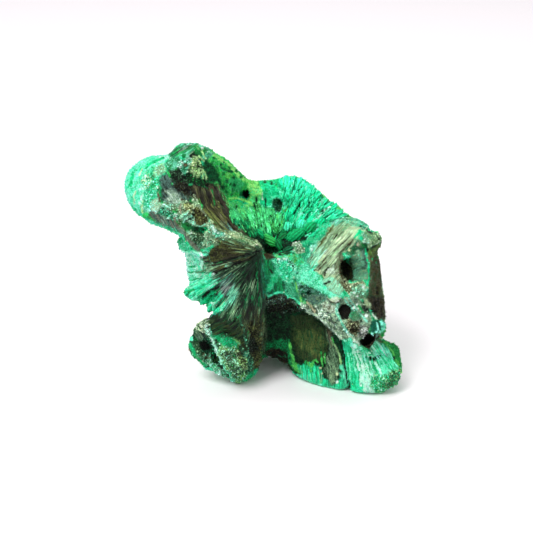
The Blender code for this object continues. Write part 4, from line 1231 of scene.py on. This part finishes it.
recessMarks = [
    # painted shade: the whole recess under the ridge is first laid in black and pitch, and its own colours
    # go over it
    ("black pitch pitch fir", (262, 296, 276, 292, 288, 296, 302, 304, 312, 312, 322, 320, 331, 329,
     341, 339, 345, 352, 346, 370, 347, 388, 335, 392, 318, 390, 306, 384, 298, 380, 289, 376, 286, 366,
     286, 352, 280, 350, 268, 352, 262, 362, 258, 368, 260, 340, 263, 320), {"soft": 2}),
    ("peat fir loam", (292, 314, 312, 316, 325, 330, 328, 345, 323, 352, 326, 362, 312, 361, 301, 361,
     295, 352, 292, 335), "combed", "fringe", {"soft": 7}),
    ("fir fir loam olive", (296, 330, 316, 330, 326, 340, 325, 352, 318, 356, 304, 352, 297, 344), "combed",
     "fringe", {"soft": 8}),
    # painted shade at the top of the recess, under the ridge
    ("black pitch loam slate", (262, 296, 276, 293, 290, 297, 302, 305, 300, 311, 285, 312, 268, 313),
     "crust"),
    ("line", "pitch bottle", (291, 314, 296, 315, 300, 312), 2.2),
    ("dots", "fir", (280, 317), 3),
    ("pitch bottle holly emerald", (263, 346, 273, 340, 282, 340, 289, 338, 291, 350, 292, 362, 294, 373,
     288, 372, 286, 358, 283, 350, 272, 352, 267, 354), {"soft": 5}),
    # the hollow under the arch: dark brown stone, darkened further with painted shade
    ("black black umber brown", (266, 353, 272, 350, 281, 349, 287, 352, 289, 362, 291, 371, 286, 376,
     276, 376, 266, 370), "crust", {"rise": -0.3, "soft": 2}),
    ("line", "fern lime", (290, 343, 291, 352, 294, 360), 2.2),
    ("holly emerald", (261, 350, 265, 358, 267, 363, 258, 368, 257, 358)),
    ("fern lime", (291, 360, 297, 363, 302, 368, 300, 373, 293, 371)),
    ("holly jade mint mint", (299, 366, 312, 364, 320, 367, 324, 378, 338, 380, 344, 372, 348, 390, 335, 390,
     312, 386, 303, 378), "silk", "fringe"),
    ("lines", "fern green lime", [(311, 372, 311, 364), (313, 369, 313, 362, 316, 360, 317.5, 362.5),
     (309, 366, 308, 363), (321, 352, 322.5, 366), (325, 354, 325.5, 363)], 1.5, 0.15),
    ("line", "emerald green", (306, 362, 306, 368), 1.8),
    ("pitch lead lichen sage", (326, 329, 332, 336, 335, 346, 338, 358, 339, 370, 337, 382, 333, 386,
     327, 380, 324, 370, 327, 358, 330, 345, 326, 336), "combed", "recess", {"soft": 4}),
    ("clay brown", (327, 329, 331, 332, 331, 339, 328, 338), "silk", "recess"),
    ("pitch bottle", (331, 330, 342, 340, 345, 352, 346, 373, 342, 369, 340, 353, 335, 343)),
    ("line", "green lime", (332, 338, 333, 344), 1.8),
    ("line", "sage pear", (335, 345, 339, 354, 341, 362, 341.5, 370), 1.6, 0.2),
    ("dots", "cream", (322, 374, 320.5, 368, 337.5, 374), 2.4, 0.2),
    ("dots", "white", (337, 382), 3.2, 0.2),
    ("line", "jade mint foam", (288, 370, 295, 375.5, 305, 377, 313, 383, 325, 386.5, 338, 389, 349, 391),
     3.6, 0.15),
]

brushes = {
    "line": stroke,
    "lines": strokes,
    "dots": spots,
    "rays": fanGrooves,
    "threads": fingerLines,
    "gaps": bowlGaps,
    "noseThreads": noseLines,
}


def paintRegion(marks):
    for first, *values in marks:
        options = values.pop() if values and isinstance(values[-1], dict) else {}
        if first in brushes:
            brushes[first](*values, **options)
        else:
            patch(first, *values, **options)


print("painting")
velvetAllOver()
for marks in (recessMarks, clubMarks, wallMarks, bowlMarks, knobMarks, mossMarks, neckMarks, crestMarks,
              fanMarks, fingersMarks, tubeMarks, bridgeMarks, hoodMarks, eyeMarks, ridgeMarks, noseMarks):
    paintRegion(marks)


bodyPaint = {
    "crease": (1.17, 0.5),  # how bright the paint is overall, and how much darker painted shade makes a crease
    "grain": (0.78, 0.42),
    "tint": (0.96, 1.05, 1.01),
    "strength": 0.05,
    "foot": (0.05, 1.2),  # in mm, nothing moves at the foot, where it stands
}
# painted shade: creases are painted darker than ridges, and fine grain noise varies the tone over it
shade = stretched(hollow, -0.5, 0.55)
bright, darker = bodyPaint["crease"]
least, more = bodyPaint["grain"]
shading = (bright - darker * shade) * (least + more * stretched(lumps("fineGrain"), 0.2, 0.8))
for paint, offset in paintLayers:
    paint *= shading[:, None] * np.array(bodyPaint["tint"])
    paint += (paint - paint.mean(axis=1, keepdims=True)) * bodyPaint["strength"]
height = blurred(lift, 2) + relief + (lumps("roughness") - 0.5) * 0.1
guard = stretched(points[:, 2], *bodyPaint["foot"])
moved = (points + facing * (height * guard)[:, None]) * mm
stone.data.vertices.foreach_set("co", moved.ravel())
stone.data.update()


def giveAttribute(mesh, name, kind, field, values):
    attribute = mesh.attributes.new(name, kind, "POINT")
    attribute.data.foreach_set(field, np.ascontiguousarray(values, dtype=np.float32).ravel())


def givePaint(mesh, colours, name="paint"):
    opaque = np.ones((len(colours), 1))
    giveAttribute(mesh, name, "FLOAT_COLOR", "color", np.hstack((np.clip(colours, 0.002, 0.98), opaque)))


softKinds = np.stack([blurred(kinds[:, k], 1) for k in range(3)], axis=1)
givePaint(stone.data, hollowPaint, "hollowPaint")
givePaint(stone.data, topPaint, "topPaint")
giveAttribute(stone.data, "flow", "FLOAT_VECTOR", "vector", np.hstack((flow, np.zeros((len(flow), 1)))))
giveAttribute(stone.data, "kinds", "FLOAT_VECTOR", "vector", softKinds)
stone.data.shade_smooth()


def addNode(tree, kind, at, inputs=None, **values):  # inputs are the sockets' own values
    node = tree.nodes.new(kind)
    node.location = at
    for key, value in values.items():
        setattr(node, key, value)
    for label, value in (inputs or {}).items():
        node.inputs[label].default_value = value
    return node


def addRange(tree, at, fromLow, fromHigh, toLow, toHigh):
    inputs = {"From Min": fromLow, "From Max": fromHigh, "To Min": toLow, "To Max": toHigh}
    return addNode(tree, "ShaderNodeMapRange", at, inputs)


def wire(tree, *links):  # each link is a node and its output, then a node and its input
    for source, outlet, target, inlet in links:
        tree.links.new(source.outputs[outlet], target.inputs[inlet])


def makeGroup(name, inputs):  # puts out a tone, 0 in the hollows and 1 on the tops, and a height
    group = bpy.data.node_groups.new(name, "ShaderNodeTree")
    for label, kind, default in inputs:
        socket = group.interface.new_socket(label, in_out="INPUT", socket_type=kind)
        if default is not None:
            socket.default_value = default
    for label in ("Tone", "Height"):
        group.interface.new_socket(label, in_out="OUTPUT", socket_type="NodeSocketFloat")
    return group, addNode(group, "NodeGroupInput", (-900, 0)), addNode(group, "NodeGroupOutput", (700, 0))


def newMaterial(name):
    material = bpy.data.materials.new(name)
    material.use_nodes = True
    return material, material.node_tree, material.node_tree.nodes["Principled BSDF"]


def makeVelvetNap():  # short upright crystals: fine pale tips over darker gaps
    group, start, end = makeGroup("velvetNap", [("Scale", "NodeSocketFloat", 2600.0)])
    where = addNode(group, "ShaderNodeTexCoord", (-1100, -200))
    needleTips = addNode(group, "ShaderNodeTexVoronoi", (-600, 100), feature="F1")
    clumps = addNode(group, "ShaderNodeTexNoise", (-600, -200), {"Scale": 1150.0, "Detail": 3.0})
    tips = addRange(group, (-350, 100), 0.12, 0.62, 0.55, 0.0)
    both = addNode(group, "ShaderNodeMath", (-100, 0), {1: 0.6}, operation="MULTIPLY_ADD")
    tone = addRange(group, (150, 100), 0.26, 0.66, 0.0, 1.0)
    wire(group, (where, "Object", needleTips, "Vector"), (where, "Object", clumps, "Vector"),
         (start, "Scale", needleTips, "Scale"), (needleTips, "Distance", tips, "Value"),
         (clumps, "Fac", both, 0), (tips, "Result", both, 2), (both, 0, tone, "Value"),
         (tone, "Result", end, "Tone"), (both, 0, end, "Height"))
    return group


def makeFibreStreaks():  # long fine needles side by side along the flow
    inputs = [("Flow", "NodeSocketVector", None), ("Spacing", "NodeSocketFloat", 0.8)]
    group, start, end = makeGroup("fibreStreaks", inputs)
    squeeze = addNode(group, "ShaderNodeVectorMath", (-700, 0), {1: (1.0, 0.12, 1.0)}, operation="MULTIPLY")
    streaks = addNode(group, "ShaderNodeTexNoise", (-450, 100), noise_dimensions="2D")
    streaks.inputs["Detail"].default_value = 3.0
    streaks.inputs["Roughness"].default_value = 0.6
    height = addRange(group, (-200, -100), 0.34, 0.66, 0.0, 1.0)
    tone = addRange(group, (-200, 100), 0.38, 0.61, 0.0, 1.0)
    wire(group, (start, "Flow", squeeze, 0), (squeeze, "Vector", streaks, "Vector"),
         (start, "Spacing", streaks, "Scale"), (streaks, "Fac", height, "Value"),
         (streaks, "Fac", tone, "Value"), (tone, "Result", end, "Tone"), (height, "Result", end, "Height"))
    return group


def makeCrustGrain():  # little rounded grains of uneven tone with dark pores between them
    group, start, end = makeGroup("crustGrain", [("Scale", "NodeSocketFloat", 1700.0)])
    where = addNode(group, "ShaderNodeTexCoord", (-1100, -200))
    edges = addNode(group, "ShaderNodeTexVoronoi", (-600, 100), feature="DISTANCE_TO_EDGE")
    toned = addNode(group, "ShaderNodeTexVoronoi", (-600, -200), feature="F1")
    rounded = addRange(group, (-300, 100), 0.02, 0.26, 0.0, 1.0)
    split = addNode(group, "ShaderNodeSeparateColor", (-350, -200))
    uneven = addRange(group, (-150, -200), 0.0, 1.0, 0.3, 1.15)
    mixed = addNode(group, "ShaderNodeMath", (50, -100), operation="MULTIPLY")
    tone = addRange(group, (250, 0), 0.05, 1.0, 0.0, 1.0)
    wire(group, (where, "Object", edges, "Vector"), (where, "Object", toned, "Vector"),
         (start, "Scale", edges, "Scale"), (start, "Scale", toned, "Scale"),
         (edges, "Distance", rounded, "Value"), (toned, "Color", split, "Color"),
         (split, "Red", uneven, "Value"), (uneven, "Result", mixed, 0), (rounded, "Result", mixed, 1),
         (mixed, 0, tone, "Value"),
         (tone, "Result", end, "Tone"), (rounded, "Result", end, "Height"))
    return group


stoneLook = {
    "napScale": 2600.0,
    "fibreSpacing": 0.75,
    "grainScale": 1500.0,
    "gloss": 0.16,
    "roughness": (0.72, 0.46),  # without and with silk
    "bump": 0.0004,
}


def makeStoneSkin(nap, streaks, grain):  # the paint with all three grains, each where its share says
    skin, tree, shader = newMaterial("stoneSkin")
    shader.inputs["Specular IOR Level"].default_value = stoneLook["gloss"]
    hollows = addNode(tree, "ShaderNodeAttribute", (-1500, 600), attribute_name="hollowPaint")
    tops = addNode(tree, "ShaderNodeAttribute", (-1500, 400), attribute_name="topPaint")
    way = addNode(tree, "ShaderNodeAttribute", (-1500, 0), attribute_name="flow")
    share = addNode(tree, "ShaderNodeAttribute", (-1500, -400), attribute_name="kinds")
    shares = addNode(tree, "ShaderNodeSeparateXYZ", (-1300, -400))
    velvet = addNode(tree, "ShaderNodeGroup", (-1300, 200), node_tree=nap)
    silk = addNode(tree, "ShaderNodeGroup", (-1300, 0), node_tree=streaks)
    crust = addNode(tree, "ShaderNodeGroup", (-1300, -200), node_tree=grain)
    velvet.inputs["Scale"].default_value = stoneLook["napScale"]
    silk.inputs["Spacing"].default_value = stoneLook["fibreSpacing"]
    crust.inputs["Scale"].default_value = stoneLook["grainScale"]
    wire(tree, (share, "Vector", shares, "Vector"), (way, "Vector", silk, "Flow"))
    tone, rise = None, None
    for number, node in enumerate((silk, crust, velvet)):
        toneStep = addNode(tree, "ShaderNodeMath", (-1000 + 200 * number, 100), operation="MULTIPLY_ADD")
        riseStep = addNode(tree, "ShaderNodeMath", (-1000 + 200 * number, -200), operation="MULTIPLY_ADD")
        for step, label, total in ((toneStep, "Tone", tone), (riseStep, "Height", rise)):
            wire(tree, (node, label, step, 0), (shares, number, step, 1))
            if total is None:
                step.inputs[2].default_value = 0.0
            else:
                wire(tree, (total, 0, step, 2))
        tone, rise = toneStep, riseStep
    mixed = addNode(tree, "ShaderNodeMix", (-100, 300), data_type="RGBA")
    dull = addRange(tree, (-300, -100), 0.0, 1.0, *stoneLook["roughness"])
    bump = addNode(tree, "ShaderNodeBump", (-100, -300), {"Strength": 1.0, "Distance": stoneLook["bump"]})
    wire(tree, (tone, 0, mixed, 0), (hollows, "Color", mixed, 6), (tops, "Color", mixed, 7),
         (mixed, 2, shader, "Base Color"), (shares, 0, dull, "Value"), (dull, "Result", shader, "Roughness"),
         (rise, 0, bump, "Height"), (bump, "Normal", shader, "Normal"))
    return skin


print("skin")
velvetNap = makeVelvetNap()
fibreStreaks = makeFibreStreaks()
crustGrain = makeCrustGrain()
stone.data.materials.append(makeStoneSkin(velvetNap, fibreStreaks, crustGrain))
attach(stone, "root")
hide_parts("malachite")


# small crystals that stand on the skin
surface = coordinates(stone.data)
outward = normals(stone.data)
surfaceTree = treeOf(stone)
span = np.linalg.norm(surface[edgeEnds[:, 0]] - surface[edgeEnds[:, 1]], axis=1) / mm
spacing = np.bincount(edgeEnds.ravel(), np.repeat(span, 2), len(surface)) / neighbourCount
share = spacing ** 2  # how much surface each point stands for, in square mm
bare = {"pit": -0.28, "foot": 0.9}  # in mm, nothing grows in the pits or under the foot
openSkin = (lift > bare["pit"]) * (surface[:, 2] > bare["foot"] * mm)


def pick(weights, count, seed):
    draw = np.random.default_rng(seed)
    usable = int((weights > 0).sum())
    return draw.choice(len(weights), size=min(count, usable), replace=False, p=weights / weights.sum()), draw


def unit(vectors):
    return vectors / np.maximum(np.linalg.norm(vectors, axis=-1, keepdims=True), 1e-12)


def axesFor(upward, sideways):  # side, other side and up for each copy
    upward = unit(upward)
    side = unit(sideways - upward * np.sum(sideways * upward, axis=1, keepdims=True))
    return np.stack((side, np.cross(upward, side), upward), axis=2)


def patternShape(make, **values):  # points and triangles of a small primitive that is copied many times
    bpy.ops.object.select_all(action="DESELECT")
    make(**values)
    seed = bpy.context.object
    bpy.ops.object.mode_set(mode="EDIT")
    bpy.ops.mesh.select_all(action="SELECT")
    bpy.ops.mesh.quads_convert_to_tris(quad_method="BEAUTY", ngon_method="BEAUTY")
    bpy.ops.object.mode_set(mode="OBJECT")
    corners = coordinates(seed.data)
    triangles = np.array([tuple(face.vertices) for face in seed.data.polygons])
    bpy.data.objects.remove(seed)
    return corners, triangles


def joinedPiece(name, allPoints, allFaces, colours, material):
    mesh = bpy.data.meshes.new(name)
    mesh.from_pydata(allPoints.tolist(), [], allFaces.tolist())
    givePaint(mesh, colours)
    mesh.shade_smooth()
    mesh.materials.append(material)
    piece = bpy.data.objects.new(name, mesh)
    bpy.context.scene.collection.objects.link(piece)
    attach(piece, "root")
    print(name + ":", len(allFaces), "faces")


def manyCopies(name, shape, places, axes, sizes, colours, tipTone, material):
    corners, triangles = shape
    turned = np.einsum("nij,nkj->nki", axes, corners[None] * sizes[:, None, :]) + places[:, None]
    allFaces = triangles[None] + (np.arange(len(places)) * len(corners))[:, None, None]
    # each copy is darker at its foot and paler at its tip: painted shade low down among the crystals and
    # painted light on their tips
    lowest, highest = corners[:, 2].min(), corners[:, 2].max()
    tall = (corners[:, 2] - lowest) / (highest - lowest)
    tone = tipTone[0] + (tipTone[1] - tipTone[0]) * tall
    shades = colours[:, None, :] * tone[None, :, None]
    joinedPiece(name, turned.reshape(-1, 3), allFaces.reshape(-1, 3), shades.reshape(-1, 3), material)


def toned(colours, draw, low, high, paleShare=0.0, pale="foam"):
    light = stretched(colours.mean(axis=1), 0.05, 0.45)[:, None]  # pale paint varies less than dark paint
    result = colours * (1 + (draw.uniform(low, high, (len(colours), 1)) - 1) * (1.15 - 0.6 * light))
    chosen = (draw.random(len(colours)) < paleShare) & (colours.mean(axis=1) > 0.12)
    result[chosen] = 0.45 * result[chosen] + 0.55 * paintOf(pale)
    return result


crystalLook = {
    "tones": (0.62, 1.32),
    "bump": 0.0001,
    "velvetSkin": {"scale": 4000.0, "roughness": 0.7, "gloss": 0.12},
    "fibreSkin": {"scale": 5200.0, "roughness": 0.45, "gloss": 0.3},
    "grainSkin": {"scale": 4600.0, "roughness": 0.4, "gloss": 0.35},
}


def makeCrystalSkin(name):
    look = crystalLook[name]
    skin, tree, shader = newMaterial(name)
    shader.inputs["Roughness"].default_value = look["roughness"]
    shader.inputs["Specular IOR Level"].default_value = look["gloss"]
    paint = addNode(tree, "ShaderNodeAttribute", (-900, 300), attribute_name="paint")
    mottle = addNode(tree, "ShaderNodeGroup", (-900, 0), node_tree=velvetNap)
    mottle.inputs["Scale"].default_value = look["scale"]
    strength = addRange(tree, (-600, 0), 0.0, 1.0, *crystalLook["tones"])
    shaded = addNode(tree, "ShaderNodeVectorMath", (-300, 200), operation="SCALE")
    bump = addNode(tree, "ShaderNodeBump", (-300, -200), {"Strength": 0.4, "Distance": crystalLook["bump"]})
    wire(tree, (paint, "Color", shaded, 0), (mottle, "Tone", strength, "Value"),
         (strength, "Result", shaded, "Scale"), (shaded, "Vector", shader, "Base Color"),
         (mottle, "Height", bump, "Height"), (bump, "Normal", shader, "Normal"))
    return skin


velvetSkin = makeCrystalSkin("velvetSkin")
fibreSkin = makeCrystalSkin("fibreSkin")
grainSkin = makeCrystalSkin("grainSkin")


def onSkin(px):  # where the sight line through a pixel meets the skin, and the way the skin faces there
    return surfaceTree.ray_cast(Vector(eye), rayThrough(px))[:2]


buds = {  # fluted lumps at the foot of the bowl: middle, length, width (view pixels), turn, paint
    "shell": ((296, 236.5), 21, 14, 32, "emerald"),
    "shellUpper": ((310, 228.5), 15, 11, 38, "emerald"),
    "shellTop": ((301, 225.5), 12, 10, 62, "mint"),
    "round": ((288, 227), 11, 9, 75, "mint"),
    "dark": ((283, 237), 10, 8, 30, "holly"),
    "lime": ((269, 240.5), 17, 10, -33, "green"),
    "leaf": ((279.5, 245), 13, 8, -70, "holly"),
    "west": ((259, 234), 12, 8, -50, "emerald"),
    "middle": ((275, 231), 10, 8, -70, "fern"),
    "low": ((289, 249.5), 10, 6, 15, "bottle"),
    "east": ((320, 222), 11, 8, 40, "jade"),
}
budFlutes = {
    "around": 40, "along": 16, "pitch": 2.6, "depth": 0.24, "thickness": 0.9, "sunk": -0.15, "lumps": 0.45,
    "twist": 0.4, "knobSize": 0.7, "knobSeed": 19, "tones": (0.5, 0.85, 0.9),
# the tones paint shade into the flute grooves and the sunk parts of the knobs, and light onto the flute
# ridges and raised knobs
}


def makeBuds():
    around, along = budFlutes["around"], budFlutes["along"]
    corners, triangles = patternShape(
        bpy.ops.mesh.primitive_uv_sphere_add, segments=around, ring_count=along, radius=1)
    turn = np.arctan2(corners[:, 1], corners[:, 0]) + budFlutes["twist"] * corners[:, 2]
    plainTone, fluteTone, knobTone = budFlutes["tones"]
    allPoints, allFaces, shades = [], [], []
    for middle, length, width, turned, paint in buds.values():
        count = 2 * round(width / budFlutes["pitch"])
        flute = 1 - budFlutes["depth"] * (0.5 - 0.5 * np.cos(turn * count))
        shape = corners * np.stack((flute, flute, np.ones(len(corners))), axis=1)
        hit, normal = onSkin(middle)
        angle = math.radians(turned)
        along = np.array((math.cos(angle), 0, 0)) + upward * math.sin(angle)
        frameAxes = axesFor(along[None], np.array(normal)[None])[0]
        perPixel = (np.array(hit) - eye) @ aim / pixelsPerTangent
        size = np.array((width * budFlutes["thickness"], width, length)) / 2 * perPixel
        place = np.array(hit) - np.array(normal) * budFlutes["sunk"] * width / 2 * perPixel
        allFaces.append(triangles + len(shape) * len(allPoints))
        lumpy = (shape * size) @ frameAxes.T + place
        knobs = roughNoise(lumpy / mm / budFlutes["knobSize"], budFlutes["knobSeed"]) - 0.5
        allPoints.append(lumpy + (lumpy - place) * (knobs * budFlutes["lumps"])[:, None])
        # painted shade in the flute grooves and on sunk knobs, painted light on the flute ridges and raised
        # knobs
        tone = plainTone + stretched(flute, 1 - budFlutes["depth"], 1) * fluteTone + knobTone * knobs
        shades.append(paintOf(paint)[None] * tone[:, None])
    joined = [np.concatenate(part) for part in (allPoints, allFaces, shades)]
    joinedPiece("bowlBuds", *joined, velvetSkin)


def besideBuds():  # 0 under the fluted lumps, 1 elsewhere
    clear = np.ones(len(seen))
    for middle, length, width, turned, paint in buds.values():
        angle = math.radians(turned)
        away = seen - np.array(middle)
        along = (away @ np.array((math.cos(angle), -math.sin(angle)))) / (length / 2)
        across = (away @ np.array((math.sin(angle), math.cos(angle)))) / (width / 2)
        clear[along ** 2 + across ** 2 < 0.8] = 0
    return clear


nap = {
    "radius": (0.12, 0.24),
    "height": (0.3, 0.75),
    "lean": 0.25,
    "sunk": 0.12,
    "tones": (0.75, 1.3, 0.06),
    # painted shade at the foot of each crystal, painted light on its tip
    "footToTip": (0.55, 1.35),
    "frontNap": {"count": 13000, "seed": 201, "wider": 1, "taller": 1},
    "backNap": {"count": 9000, "seed": 202, "wider": 1.5, "taller": 1.15},
}


def makeNap(name, side):  # fine upright crystals of the velvet
    own = nap[name]
    shape = patternShape(bpy.ops.mesh.primitive_cone_add, vertices=4, radius1=1, radius2=0, depth=1)
    shape[0][:, 2] += 0.5
    chosen, draw = pick(share * kinds[:, 2] * side * openSkin, own["count"], own["seed"])
    number = len(chosen)
    leaning = outward[chosen] + draw.normal(0, nap["lean"], (number, 3))
    wide = draw.uniform(*nap["radius"], number) * mm * own["wider"]
    tall = draw.uniform(*nap["height"], number) * mm * own["taller"]
    sizes = np.stack((wide, wide, tall), axis=1)
    places = surface[chosen] - outward[chosen] * nap["sunk"] * mm
    colours = toned(colour[chosen], draw, *nap["tones"])
    axes = axesFor(leaning, draw.normal(0, 1, (number, 3)))
    manyCopies(name, shape, places, axes, sizes, colours, nap["footToTip"], velvetSkin)


crumbs = {
    "count": 6500,
    "seed": 211,
    "radius": (0.12, 0.32),
    "uneven": (0.7, 1.25),
    "sunk": 0.4,
    "backShare": 0.15,
    "tones": (0.3, 1.75, 0.05, "ash"),
    # painted shade at the foot of each grain, painted light on its top
    "footToTip": (0.7, 1.25),
}


def makeGrains():  # rounded grains of the crusts
    shape = patternShape(bpy.ops.mesh.primitive_ico_sphere_add, subdivisions=1, radius=1)
    chances = share * kinds[:, 1] * (crumbs["backShare"] + front) * openSkin
    chosen, draw = pick(chances, crumbs["count"], crumbs["seed"])
    number = len(chosen)
    smallest, largest = crumbs["radius"]
    size = smallest + (largest - smallest) * draw.random(number) ** 2
    sizes = size[:, None] * draw.uniform(*crumbs["uneven"], (number, 3)) * mm
    places = surface[chosen] - outward[chosen] * (size * crumbs["sunk"] * mm)[:, None]
    colours = toned(colour[chosen], draw, *crumbs["tones"])
    axes = axesFor(outward[chosen], draw.normal(0, 1, (number, 3)))
    manyCopies("crustGrains", shape, places, axes, sizes, colours, crumbs["footToTip"], grainSkin)


def flowStep(name, px, length):  # a step along the fibres from px
    around = np.array([px, (px[0] + 0.5, px[1]), (px[0], px[1] + 0.5)])
    along = flowMakers[name](around)[:, 1]
    slopeHere = np.array((along[1] - along[0], along[2] - along[0]))
    size = np.hypot(*slopeHere)
    if size < 1e-6:
        return None
    return np.array(px) + slopeHere / size * length


def traceFibre(name, px, steps, length, jump=0.9):  # skin points along a fibre, until it meets a drop
    trail, ways = [], []
    for _ in range(steps):
        hit, normal = onSkin(px)
        if hit is None or (trail and (hit - trail[-1]).length > jump * mm + length * 0.45 * mm):
            break
        trail.append(hit)
        ways.append(normal)
        px = flowStep(name, px, length)
        if px is None:
            break
    return np.array(trail), np.array(ways)


def resampled(line, count):
    place = np.linspace(0, len(line) - 1, count)
    low = np.minimum(place.astype(int), len(line) - 2)
    part = (place - low)[:, None]
    return line[low] * (1 - part) + line[low + 1] * part


def tubes(name, settings, traced, paint, draw, material):  # closed tapered tubes along many lines
    lines, ways, kept = (np.array(part) for part in traced)
    number, count = lines.shape[:2]
    sides = settings["sides"]
    colours = toned(paint[kept], draw, *settings["tones"])
    tones = np.repeat(draw.uniform(*settings["unlike"], (number, 1)), count, axis=1)
    # tones run from the start of each line to its end; on the needles, whose tips stand off the skin, this
    # is painted shade at the foot and painted light at the tip
    tones *= np.linspace(*settings["footToTip"], count)
    radii = draw.uniform(*settings["radius"], number) * mm
    ahead = unit(np.gradient(lines, axis=1))
    side = unit(np.cross(ways, ahead))
    over = np.cross(ahead, side)
    profile = np.sin(np.pi * np.linspace(0.12, 0.93, count)) ** 0.6
    angles = np.linspace(0, 2 * np.pi, sides, endpoint=False)
    ring = side[:, :, None] * np.cos(angles)[:, None] + over[:, :, None] * np.sin(angles)[:, None]
    wide = radii[:, None] * profile[None]
    allPoints = lines[:, :, None] + ring * wide[:, :, None, None]
    start = (np.arange(number) * count * sides)[:, None, None]
    row = (np.arange(count - 1) * sides)[None, :, None]
    here = np.arange(sides)
    after = (here + 1) % sides
    corner = [start + row + k for k in (here, after, after + sides, here + sides)]
    quads = np.stack(corner, axis=-1).reshape(-1, 4)
    faces = [quads[:, (0, 1, 2)], quads[:, (0, 2, 3)]]
    for k in range(1, sides - 1):
        faces.append(np.stack([start[:, 0, 0], start[:, 0, 0] + k + 1, start[:, 0, 0] + k], axis=1))
        last = start[:, 0, 0] + (count - 1) * sides
        faces.append(np.stack([last, last + k, last + k + 1], axis=1))
    shades = colours[:, None, None, :] * tones[:, :, None, None] * np.ones((1, 1, sides, 1))
    joinedPiece(name, allPoints.reshape(-1, 3), np.concatenate(faces), shades.reshape(-1, 3), material)


strands = {
    "count": 4200,
    "seed": 221,
    "leastSilk": 0.6,
    "steps": (5, 9),
    "step": 1.5,
    "fewest": 4,
    "points": 6,
    "rise": (-0.02, 0.09),
    "radius": (0.05, 0.11),
    "sides": 4,
    "tones": (0.2, 2.0, 0.05, "ash"),
    "unlike": (0.8, 1.2),
    "footToTip": (0.9, 1.15),
}


def makeStrands():  # single fibres lying on the silky parts, along their flow
    silky = kinds[:, 0] * (kinds[:, 0] > strands["leastSilk"])
    chosen, draw = pick(share * silky * front * openSkin, strands["count"], strands["seed"])
    lines, ways, kept = [], [], []
    for point in chosen:
        steps = int(draw.integers(*strands["steps"]))
        line, way = traceFibre(flowNames[flowNumber[point]], seen[point], steps, strands["step"])
        if len(line) < strands["fewest"]:
            continue
        rise = draw.uniform(*strands["rise"]) * mm
        lines.append(resampled(line + way * rise, strands["points"]))
        ways.append(unit(resampled(way, strands["points"])))
        kept.append(point)
    tubes("silkFibres", strands, (lines, ways, kept), colour, draw, fibreSkin)


needles = {
    "count": 1700,
    "seed": 231,
    "length": (4, 9),
    "steps": 5,
    "fewest": 4,
    "points": 5,
    "tipRise": (0.25, 0.6),
    "radius": (0.15, 0.3),
    "sides": 5,
    "tones": (0.5, 1.4, 0.03),
    "unlike": (0.85, 1.15),
    # painted shade at the foot of each needle, painted light on its raised tip
    "footToTip": (0.65, 1.3),
}


def makeNeedles():  # stout velvet needles of the bowl and the nose, their tips standing off the skin
    onRidges = 0.04 + stretched(relief, -0.05, 0.35)
    chosen, draw = pick(share * cellShare * front * openSkin * onRidges, needles["count"], needles["seed"])
    lines, ways, kept = [], [], []
    for point in chosen:
        step = draw.uniform(*needles["length"]) / (needles["steps"] - 1)
        line, way = traceFibre(flowNames[flowNumber[point]], seen[point], needles["steps"], step)
        if len(line) < needles["fewest"]:
            continue
        line, way = resampled(line, needles["points"]), unit(resampled(way, needles["points"]))
        rise = np.linspace(0.0, draw.uniform(*needles["tipRise"]), needles["points"]) * mm
        lines.append(line + way * rise[:, None])
        ways.append(way)
        kept.append(point)
    tubes("stoutNeedles", needles, (lines, ways, kept), 0.8 * colour + 0.2 * topPaint, draw, velvetSkin)


print("crystals")
makeBuds()
openSkin = openSkin * besideBuds()
makeNap("frontNap", front)
makeNap("backNap", 1 - front)
makeGrains()
makeStrands()
makeNeedles()


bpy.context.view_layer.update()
